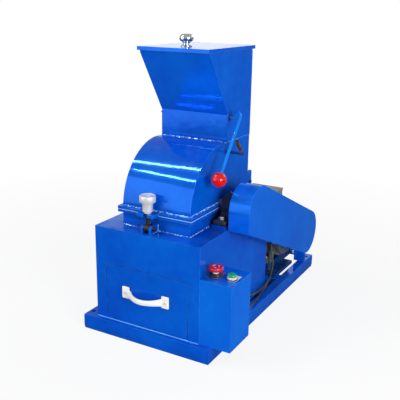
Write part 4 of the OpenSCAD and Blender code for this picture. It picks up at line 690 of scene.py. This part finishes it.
satin = plated("satin nickel", (0.90, 0.91, 0.92), 0.38, scratch=0.12, metallic=0.5)
knob_foot_z = 0.3618
clamp_profile = [(0.0062, 0.0), (0.0090, 0.0), (0.0097, 0.0006), (0.0098, 0.0044), (0.0104, 0.0052), (0.0128, 0.0052),
                 (0.0135, 0.0059), (0.0135, 0.0288), (0.0140, 0.0300), (0.0195, 0.0302), (0.0208, 0.0308),
                 (0.0215, 0.0320), (0.0215, 0.0456), (0.0211, 0.0468), (0.0200, 0.0478), (0.0178, 0.0480),
                 (0.0172, 0.0470), (0.0060, 0.0469), (0.0052, 0.0462), (0.0030, 0.0462), (0.0030, 0.0420),
                 (0.0, 0.0420)]
bm = bmesh.new()
turned(bm, [(0.0, 0.0008), (0.0062, 0.0008)] + clamp_profile, (clamp_x, clamp_y, knob_foot_z), steps=64)
stand_in(bm, "turned_knob", "clamp_knob", satin, sharp=38.0)

# Back hinge.
# Two plates on the cabinet and two on the drum share one long pin, about which
# the upper housing tips back once the clamp is open.
dressed("back_hinge_lugs", blue, 0.0012)
dressed("back_hinge_pin", painted_shade_blue, 0.0008)

# Bearings.
# Cast pillow blocks with ball bearing inserts: a long foot, a round body, a boss
# for the grease nipple, and seams and skin of sand casting.
bearing_x, rotor_y, rotor_z = 0.135, -0.151, 0.353
foot_z, foot_top, bolt_spread = 0.3165, 0.3305, 0.105
bearing_half_w, bearing_half_l, dome_r, seal_x, web_z = 0.019, 0.070, 0.034, 0.0178, 0.3345

casting = Finish("black casting", roughness=0.5)
skin = casting.noise(170.0, 5.0, 0.65).above(0.3, 0.75)
worn = casting.edges(0.0015)
grime = casting.noise(20.0, 4.0).above(0.45, 0.75)
cast_skin = casting.mix(skin, (0.018, 0.020, 0.026), (0.040, 0.043, 0.052))
casting.paint(casting.mix(worn * 0.35, cast_skin, (0.14, 0.14, 0.15)))
casting.rough(skin * 0.12 + grime * 0.2 + 0.36)
casting.bump(casting.noise(260.0, 4.0, 0.6), 0.0006, 0.6)


def block(bm, low, high, edge, segments):
    """Box between two corners, with its edges rounded."""
    low, high = Vector(low), Vector(high)
    size = high - low
    made = bmesh.ops.create_cube(bm, size=1.0, matrix=Matrix.Translation((low + high) / 2)
                                 @ Matrix.Diagonal((*size, 1.0)))["verts"]
    bmesh.ops.bevel(bm, geom=list({e for v in made for e in v.link_edges}), offset=edge, affect="EDGES",
                    segments=segments, profile=0.5, material=-1)


def moulded(made, voxel, passes):
    """Fuses overlapping shapes into one skin with soft fillets, as cast or moulded pieces have."""
    fuse = made.modifiers.new("fuse", "REMESH")
    fuse.mode = "VOXEL"
    fuse.voxel_size = voxel
    fuse.use_smooth_shade = True
    soften = made.modifiers.new("soften", "SMOOTH")
    soften.factor = 0.5
    soften.iterations = passes


bm = bmesh.new()
for side in (-1, 1):
    x = side * bearing_x
    block(bm, (x - bearing_half_w, rotor_y - bearing_half_l, foot_z),
          (x + bearing_half_w, rotor_y + bearing_half_l, foot_top), edge=0.0045, segments=3)
    for end in (-1, 1):
        turned(bm, [(0, 0), (0.0165, 0), (0.0165, 0.0132), (0.0155, 0.0140), (0, 0.0140)],
               (x, rotor_y + end * bolt_spread / 2, foot_z), steps=32)
    turned(bm, [(0, -0.017), (0.030, -0.017), (dome_r - 0.001, -0.015), (dome_r, -0.011), (dome_r, 0.011),
                (dome_r - 0.001, 0.015), (0.030, 0.017), (0, 0.017)], (x, rotor_y, rotor_z), axis="X", steps=56)
    web = bmesh.ops.create_cube(bm, size=1.0, matrix=Matrix.Translation((x, rotor_y, web_z))
                                @ Matrix.Diagonal((0.028, 0.086, 0.034, 1.0)))["verts"]
    for vert in web:
        if vert.co.z > web_z:
            vert.co.y = rotor_y + (vert.co.y - rotor_y) * 0.72
    turned(bm, [(0, 0), (0.007, 0), (0.0065, 0.0062), (0, 0.0062)], (x, rotor_y, rotor_z + dome_r - 0.004), steps=24)
bearings = stand_in(bm, "pillow_blocks", "bearing_housings", casting, sharp=60.0)
moulded(bearings, 0.0011, 5)

bm = bmesh.new()
for side in (-1, 1):
    for face in (-1, 1):
        turned(bm, [(0.0128, 0.0), (0.0175, 0.0), (0.0180, 0.0006), (0.0180, 0.0012), (0.0186, 0.0008),
                    (0.0232, 0.0002), (0.0240, 0.0010), (0.0258, 0.0012), (0.0262, 0.0), (0.0262, -0.002),
                    (0.0128, -0.002), (0.0128, 0.0)],
               (side * bearing_x + face * seal_x, rotor_y, rotor_z), axis="X", steps=56)
    turned(bm, [(0, 0), (0.0035, 0), (0.0035, 0.0022), (0.0016, 0.0030), (0.0020, 0.0038), (0.0020, 0.0050),
                (0.0012, 0.0060), (0, 0.0060)], (side * bearing_x, rotor_y, rotor_z + dome_r + 0.0021), steps=20)
dull_steel = raw_steel("dull steel", (0.30, 0.30, 0.31), (0.20, 0.19, 0.19), 0.42, rust=0.25)
finished(bm, "bearing_rings", "frame", "bare_steel", dull_steel, sharp=32.0)
wear_steel = raw_steel("wear steel", (0.40, 0.40, 0.41), (0.25, 0.24, 0.24), 0.33, rust=0.1)
bare("bearing_inserts", wear_steel)

# Rotor.
# Turned shaft with four welded discs, four hardened pins, and twelve loose
# hammers that fly out when it spins. It runs over a slotted sieve.
bare("rotor_shaft", bright_steel)
bare("rotor_discs", dull_steel)
bare("hammer_pins", bright_steel)
for row in ("top", "front", "bottom", "back"):
    dressed("hammers_" + row, wear_steel, 0.0012)
bare("sieve", wear_steel)
bare("breaker_plate", wear_steel)

# Belt drive.
# Cast pulleys with two grooves each and two wrapped V-belts.
pulley_iron = raw_steel("pulley iron", (0.16, 0.16, 0.17), (0.09, 0.09, 0.10), 0.4, rust=0.15)
dressed("rotor_pulley", pulley_iron, 0.0006)
dressed("motor_pulley", pulley_iron, 0.0006)
rubber = Finish("belt rubber", roughness=0.7)
weave = rubber.noise(650.0, 2.0) * rubber.noise(30.0, 3.0).above(0.35, 0.7)
rubber.paint(rubber.mix(weave, (0.012, 0.012, 0.013), (0.055, 0.052, 0.050)))
rubber.rough(weave * 0.2 + 0.6)
rubber.bump(rubber.noise(900.0, 2.0), 0.0002, 0.6)
dressed("v_belts", rubber, 0.001)

# Belt guard.
# Deep cover pressed from 2 mm sheet, open towards the machine, with a folded lip
# that two screws hold to welded stays.
# Painted light: a lighter copy of the blue enamel for the belt guard and the push-button box, so they look more lit.
painted_lit_blue = enamel("blue enamel painted as if lit", (0.003, 0.19, 0.86), (0.0015, 0.125, 0.74), roughness=0.12)
dressed("belt_guard", painted_lit_blue, 0.0022, segments=3, angle=32.0)
dressed("guard_stays", blue, 0.0010)
guard_screw_x, guard_screw_places = 0.1572, ((-0.061, 0.3812), (0.314, 0.1434))
bm = bmesh.new()
for y, z in guard_screw_places:
    turned(bm, [(0, 0), (0.0040, 0), (0.0045, 0.0004), (0.0045, 0.0026), (0, 0.0026)], (guard_screw_x - 0.0003, y, z),
           axis="X", steps=6)
    turned(bm, [(0, 0.0020), (0.0025, 0.0020), (0.0025, 0.0100), (0.0021, 0.0106), (0, 0.0106)],
           (guard_screw_x, y, z), axis="X", steps=20)
stand_in(bm, "lip_screws", "guard_screws", zinc)

# Motor.
# Foot-mounted induction motor: finned cast frame, dished end shields, pressed fan
# cover, on a bed plate with two slide rails that set the belts' tension.
motor_grey = Finish("motor enamel", coat_weight=0.15, coat_roughness=0.2)
soil = motor_grey.noise(22.0, 5.0, 0.65).above(0.35, 0.75)
# Painted shade: an occlusion mask darkens the grey deep in the fins and joints, and roughens it.
painted_nook_shade = motor_grey.crevices(0.015).above(0.3, 0.95)
soiled = motor_grey.mix(soil, (0.105, 0.115, 0.125), (0.15, 0.16, 0.17))
motor_grey.paint(motor_grey.mix(painted_nook_shade * 0.6, soiled, (0.03, 0.03, 0.032)))
motor_grey.rough(soil * 0.2 + painted_nook_shade * 0.2 + 0.35)
motor_grey.bump(motor_grey.noise(300.0, 4.0, 0.6), 0.0003, 0.5)
dressed("motor_bed", painted_shade_blue, 0.0010)
dressed("motor_frame", motor_grey, 0.0006, angle=50.0)
dressed("end_shields", motor_grey, 0.0008)
dressed("fan_cover", motor_grey, 0.0010)
bare("motor_shaft", bright_steel)

nylon = Finish("black nylon", roughness=0.42)
faded = nylon.noise(18.0, 4.0).above(0.4, 0.75)
nylon.paint(nylon.mix(faded, (0.014, 0.014, 0.016), (0.034, 0.034, 0.037)))
nylon.rough(nylon.noise(30.0, 4.0) * 0.2 + 0.32)
nylon.bump(nylon.noise(420.0, 3.0), 0.0002, 0.5)
bare("motor_fan", nylon)

box_grey = Finish("terminal box enamel", coat_weight=0.1, coat_roughness=0.25)
film = box_grey.noise(28.0, 5.0, 0.65).above(0.35, 0.75)
rub = box_grey.edges(0.0012) * box_grey.noise(50.0, 4.0).above(0.4, 0.6)
filmed = box_grey.mix(film, (0.20, 0.185, 0.165), (0.30, 0.28, 0.255))
box_grey.paint(box_grey.mix(rub * 0.6, filmed, (0.45, 0.44, 0.42)))
box_grey.rough(film * 0.2 + 0.38)
box_grey.bump(box_grey.noise(260.0, 4.0), 0.0003, 0.5)
dressed("terminal_box", box_grey, 0.0045, segments=4)
lid_screw_x, lid_screw_y, lid_screw_z = (0.0075, 0.1035), (0.229, 0.287), 0.2958
bm = bmesh.new()
for x in lid_screw_x:
    for y in lid_screw_y:
        turned(bm, [(0, 0), (0.0034, 0), (0.0036, 0.0003), (0.0033, 0.0012), (0.0022, 0.0018), (0, 0.0020)],
               (x, y, lid_screw_z), steps=20)
finished(bm, "box_screws", "frame", "bare_steel", zinc)

# Machine bolts.
# Zinc-plated hexagon bolts on washers: two in each bearing foot and four in the
# motor's feet.


def hex_bolt(bm, place, across, height, shank_r, shank_l):
    """Hexagon head with chamfered corners on a washer, and its shank."""
    under = Vector(place)
    washer_t, washer_r = 0.0015, across * 0.62
    turned(bm, [(0, 0), (washer_r - across * 0.02, 0), (washer_r, washer_t * 0.2), (washer_r, washer_t * 0.8),
                (washer_r - across * 0.02, washer_t), (0, washer_t)], under, steps=32)
    under.z += washer_t
    head = bmesh.ops.create_cone(bm, cap_ends=True, cap_tris=False, segments=6, radius1=across / 2,
                                 radius2=across / 2, depth=height,
                                 matrix=Matrix.Translation(under + Vector((0, 0, height / 2))))["verts"]
    rim = [edge for edge in {e for v in head for e in v.link_edges}
           if all(v.co.z > under.z + height * 0.9 for v in edge.verts)]
    bmesh.ops.bevel(bm, geom=rim, offset=height * 0.16, affect="EDGES", segments=2, profile=0.5, material=-1)
    turned(bm, [(0, -shank_l), (shank_r, -shank_l), (shank_r, 0.001), (0, 0.001)], Vector(place), steps=24)


feet_mid, feet_half_x, motor_y, feet_half_y, feet_top = 0.0445, 0.0675, 0.258, 0.080, 0.082
head_and_shank = (0.019, 0.0062, 0.0049)
bm = bmesh.new()
for side in (-1, 1):
    for end in (-1, 1):
        hex_bolt(bm, (side * bearing_x, rotor_y + end * bolt_spread / 2, foot_top), *head_and_shank, 0.0265)
        hex_bolt(bm, (feet_mid + side * feet_half_x, motor_y + end * feet_half_y, feet_top), *head_and_shank, 0.021)
stand_in(bm, "hexagon_bolts", "machine_bolts", zinc, sharp=32.0)

# Drawer.
# Tray of 2 mm sheet behind a thick front plate, sliding on two angle runners, with
# a moulded bow handle held by two screws.
dressed("drawer", blue, 0.0013)
bare("drawer_runners", wear_steel)
handle_y, handle_z, feet_at = -0.370, 0.136, 0.062
foot_w, foot_h, foot_t = 0.023, 0.034, 0.006
bow_half, bow_steps, bow_out, bow_drop = 0.0505, 16, 0.0245, 0.0012

moulding = Finish("cream moulding", coat_weight=0.25, coat_roughness=0.15)
hand_soil = moulding.noise(32.0, 5.0, 0.65).above(0.42, 0.8)
# Painted shade: an occlusion mask darkens the cream, a little browner, where the handle's parts meet.
corners = moulding.crevices(0.01).above(0.4, 0.95)
handled = moulding.mix(hand_soil * 0.35, (0.87, 0.865, 0.82), (0.70, 0.68, 0.61))
moulding.paint(moulding.mix(corners * 0.4, handled, (0.22, 0.20, 0.16)))
moulding.rough(hand_soil * 0.2 + 0.28)
moulding.bump(moulding.noise(380.0, 3.0), 0.0001, 0.4)

bm = bmesh.new()
for side in (-1, 1):
    x = side * feet_at
    block(bm, (x - foot_w / 2, handle_y - foot_t, handle_z - foot_h / 2),
          (x + foot_w / 2, handle_y, handle_z + foot_h / 2), edge=0.0028, segments=3)
bow, widths = [], []
for k in range(-bow_steps, bow_steps + 1):
    share = k / bow_steps
    rise = 1 - share ** 2
    bow.append(Vector((bow_half * share, handle_y - 0.0028 - rise * bow_out, handle_z - 0.0030 - rise * bow_drop)))
    widths.append(0.0075 + 0.0032 * abs(share) ** 3)
sweep(bm, bow, widths, sides=24, flat=0.60, side=Vector((0, 0, 1)))
handle = stand_in(bm, "bow_handle", "drawer_handle", moulding, sharp=60.0)
moulded(handle, 0.0008, 6)

bm = bmesh.new()
for side in (-1, 1):
    turned(bm, [(0, -0.003), (0.0044, -0.003), (0.0045, 0.0002), (0.0040, 0.0012), (0.0024, 0.0017), (0.0023, 0.0008),
                (0, 0.0008)], (side * feet_at, handle_y - foot_t, handle_z), axis="-Y", steps=28)
    turned(bm, [(0, 0), (0.0024, 0), (0.0024, 0.011), (0.0020, 0.0115), (0, 0.0115)],
           (side * feet_at, handle_y - foot_t + 0.001, handle_z), axis="Y", steps=20)
stand_in(bm, "handle_screw_heads", "handle_screws", satin)

# Push-button box.
# Folded 1.5 mm sheet box screwed to the cabinet's side, its back to the cabinet.
# Two printed-plate blanks lie under an emergency stop and a start button.
dressed("control_box", painted_lit_blue, 0.0020, segments=3)
panel_z, button_y, stop_x, start_x = 0.2223, -0.328, 0.185, 0.231
plate_w, plate_l, plate_t, barrel_r, nut_r, nut_t = 0.030, 0.044, 0.001, 0.0110, 0.0140, 0.005
nut_z = panel_z - 0.0066


def gloss(name, light, deep, roughness=0.2):
    """Injection-moulded gloss plastic, a little dusty and scuffed."""
    finish = Finish(name, coat_weight=0.3, coat_roughness=0.08)
    drift = finish.noise(60.0, 4.0).above(0.35, 0.7)
    scuffs = finish.noise(260.0, 3.0, 0.6).above(0.66, 0.74) * finish.noise(40.0, 2.0).above(0.45, 0.6)
    pale = tuple(0.6 * part + 0.25 for part in light)
    finish.paint(finish.mix(scuffs * 0.4, finish.mix(drift, deep, light), pale))
    finish.rough(drift * 0.08 + scuffs * 0.3 + roughness)
    finish.bump(finish.noise(500.0, 2.0), 0.00008, 0.3)
    return finish


def cylinder(bm, radius, height, place, steps=32):
    """Plain upright cylinder, or a hexagon with six steps."""
    turned(bm, [(0, 0), (radius, 0), (radius, height), (0, height)], place, steps=steps)


def second_finish(bm, first):
    """Gives the faces made since the first one the object's second finish."""
    bm.faces.ensure_lookup_table()
    for face in bm.faces[first:]:
        face.material_index = 1


legend_white = gloss("white plate", (0.80, 0.80, 0.78), (0.70, 0.70, 0.67), 0.35)
legend_red = gloss("red plate", (0.66, 0.09, 0.14), (0.56, 0.05, 0.09), 0.35)
bm = bmesh.new()
for x, half in ((stop_x, 0.0142), (start_x, 0.0132)):
    first = len(bm.faces)
    block(bm, (x - half, button_y, panel_z),
          (x + half, button_y - plate_w / 2 + plate_l, panel_z + plate_t), edge=0.0003, segments=1)
    cylinder(bm, half, plate_t * 0.9, (x, button_y, panel_z), steps=48)
    if x == stop_x:
        second_finish(bm, first)
stand_in(bm, "legend_blanks", "legend_plates", legend_white, legend_red)

collar_profile = [(0.0, 0.0), (0.0148, 0.0), (0.0150, 0.0006), (0.0150, 0.0048), (0.0144, 0.0058), (0.0130, 0.0062),
                  (0.0121, 0.0068), (0.0119, 0.0080), (0.0112, 0.0082), (0.0086, 0.0082), (0.0084, 0.0010),
                  (0.0, 0.0010)]
bm = bmesh.new()
turned(bm, collar_profile, (stop_x, button_y, panel_z + plate_t), steps=56)
cylinder(bm, barrel_r, 0.029, (stop_x, button_y, panel_z - 0.030))
cylinder(bm, nut_r, nut_t, (stop_x, button_y, nut_z), steps=6)
stand_in(bm, "stop_base", "stop_collar", nylon)

stop_z, arrow_r, arrow_marks, head_marks = 0.2373, 0.0084, 6, 2
red_plastic = gloss("stop red", (0.70, 0.015, 0.02), (0.60, 0.008, 0.014), 0.22)
white_plastic = gloss("white plastic", (0.82, 0.82, 0.80), (0.72, 0.72, 0.70), 0.25)
head_profile = [(0.0, -0.001), (0.0112, -0.001), (0.0150, 0.0006), (0.0178, 0.0024), (0.0193, 0.0044),
                (0.0199, 0.0060), (0.0200, 0.0085), (0.0198, 0.0100), (0.0190, 0.0114), (0.0176, 0.0122),
                (0.0150, 0.0124), (0.0128, 0.0124), (0.0124, 0.0120), (0.0, 0.0120)]
bm = bmesh.new()
turned(bm, head_profile, (stop_x, button_y, stop_z), steps=64)
reds = len(bm.faces)
for turn in range(3):
    for share in range(arrow_marks):
        angle = math.radians(120 * turn + 11 * share)
        mark = Vector((stop_x + arrow_r * math.cos(angle), button_y + arrow_r * math.sin(angle), stop_z + 0.0121))
        tail = arrow_marks - head_marks
        wide = 0.0007 if share < tail else 0.0019 - 0.0009 * (share - tail)
        bmesh.ops.create_cube(bm, size=1.0, matrix=Matrix.Translation(mark) @ Matrix.Rotation(angle, 4, "Z")
                              @ Matrix.Diagonal((2 * wide, 0.0018, 0.0006, 1.0)), calc_uvs=False)
turned(bm, [(0, 0), (0.0082, 0), (0.0082, 0.0078), (0.0112, 0.0088), (0, 0.0088)],
       (stop_x, button_y, stop_z - 0.0088), steps=40)
second_finish(bm, reds)
stand_in(bm, "stop_mushroom", "stop_head", red_plastic, white_plastic)

bezel_white = gloss("cream bezel", (0.80, 0.79, 0.74), (0.66, 0.65, 0.58), 0.25)
bm = bmesh.new()
turned(bm, [(0.0, 0.0), (0.0133, 0.0), (0.0135, 0.0005), (0.0135, 0.0024), (0.0130, 0.0029), (0.0, 0.0029)],
       (start_x, button_y, panel_z + plate_t), steps=56)
blacks = len(bm.faces)
turned(bm, [(0.0, 0.0), (0.0124, 0.0), (0.0126, 0.0004), (0.0121, 0.0050), (0.0117, 0.0056), (0.0112, 0.0057),
            (0.0086, 0.0056), (0.0084, 0.0002), (0.0, 0.0002)],
       (start_x, button_y, panel_z + plate_t + 0.0028), steps=56)
second_finish(bm, blacks)
cylinder(bm, barrel_r, 0.024, (start_x, button_y, panel_z - 0.025))
cylinder(bm, nut_r, nut_t, (start_x, button_y, nut_z), steps=6)
stand_in(bm, "start_ring", "start_bezel", nylon, bezel_white)

green_plastic = gloss("start green", (0.012, 0.42, 0.16), (0.008, 0.33, 0.12), 0.2)
cap_z, cap_r = 0.2346, 0.0115
bm = bmesh.new()
turned(bm, [(0, -0.0056), (0.0078, -0.0056), (0.0078, 0.0), (cap_r - 0.0006, 0.0), (cap_r, 0.0004),
            (cap_r - 0.0003, 0.0028), (cap_r - 0.0009, 0.0036), (cap_r - 0.0022, 0.0038),
            (0.0060, 0.0034), (0, 0.0033)],
       (start_x, button_y, cap_z), steps=56)
stand_in(bm, "start_push", "start_cap", green_plastic)

# Glands.
# Nylon cable glands: a hexagon, a ribbed clamping nut and a soft tapered nose.
# One on the box is spare for the supply cord, which the photograph doesn't show.
gland_r = 0.0030
hexagon = [(gland_r, 0.0), (0.0090, 0.0), (0.0090, 0.0046), (0.0086, 0.0050), (gland_r, 0.0050), (gland_r, 0.0)]
nose = [(gland_r, 0.0048), (0.0062, 0.0048), (0.0070, 0.0054), (0.0070, 0.0138), (0.0064, 0.0150),
        (0.0052, 0.0162), (0.0044, 0.0178), (0.0036, 0.0180), (gland_r, 0.0176), (gland_r, 0.0048)]
root = [(gland_r, -0.0035), (0.0049, -0.0035), (0.0049, 0.0005), (gland_r, 0.0005), (gland_r, -0.0035)]
bm = bmesh.new()
for place, toward in [((0.196, -0.260, 0.140), "Y"), ((0.212, -0.260, 0.118), "Y"), ((0.196, -0.260, 0.090), "Y"),
                      ((0.092, 0.223, 0.281), "-Y"), ((0.072, 0.223, 0.281), "-Y")]:
    for profile, steps in ((hexagon, 6), (nose, 32), (root, 24)):
        turned(bm, profile, place, axis=toward, steps=steps)
stand_in(bm, "gland_bodies", "cable_glands", nylon)
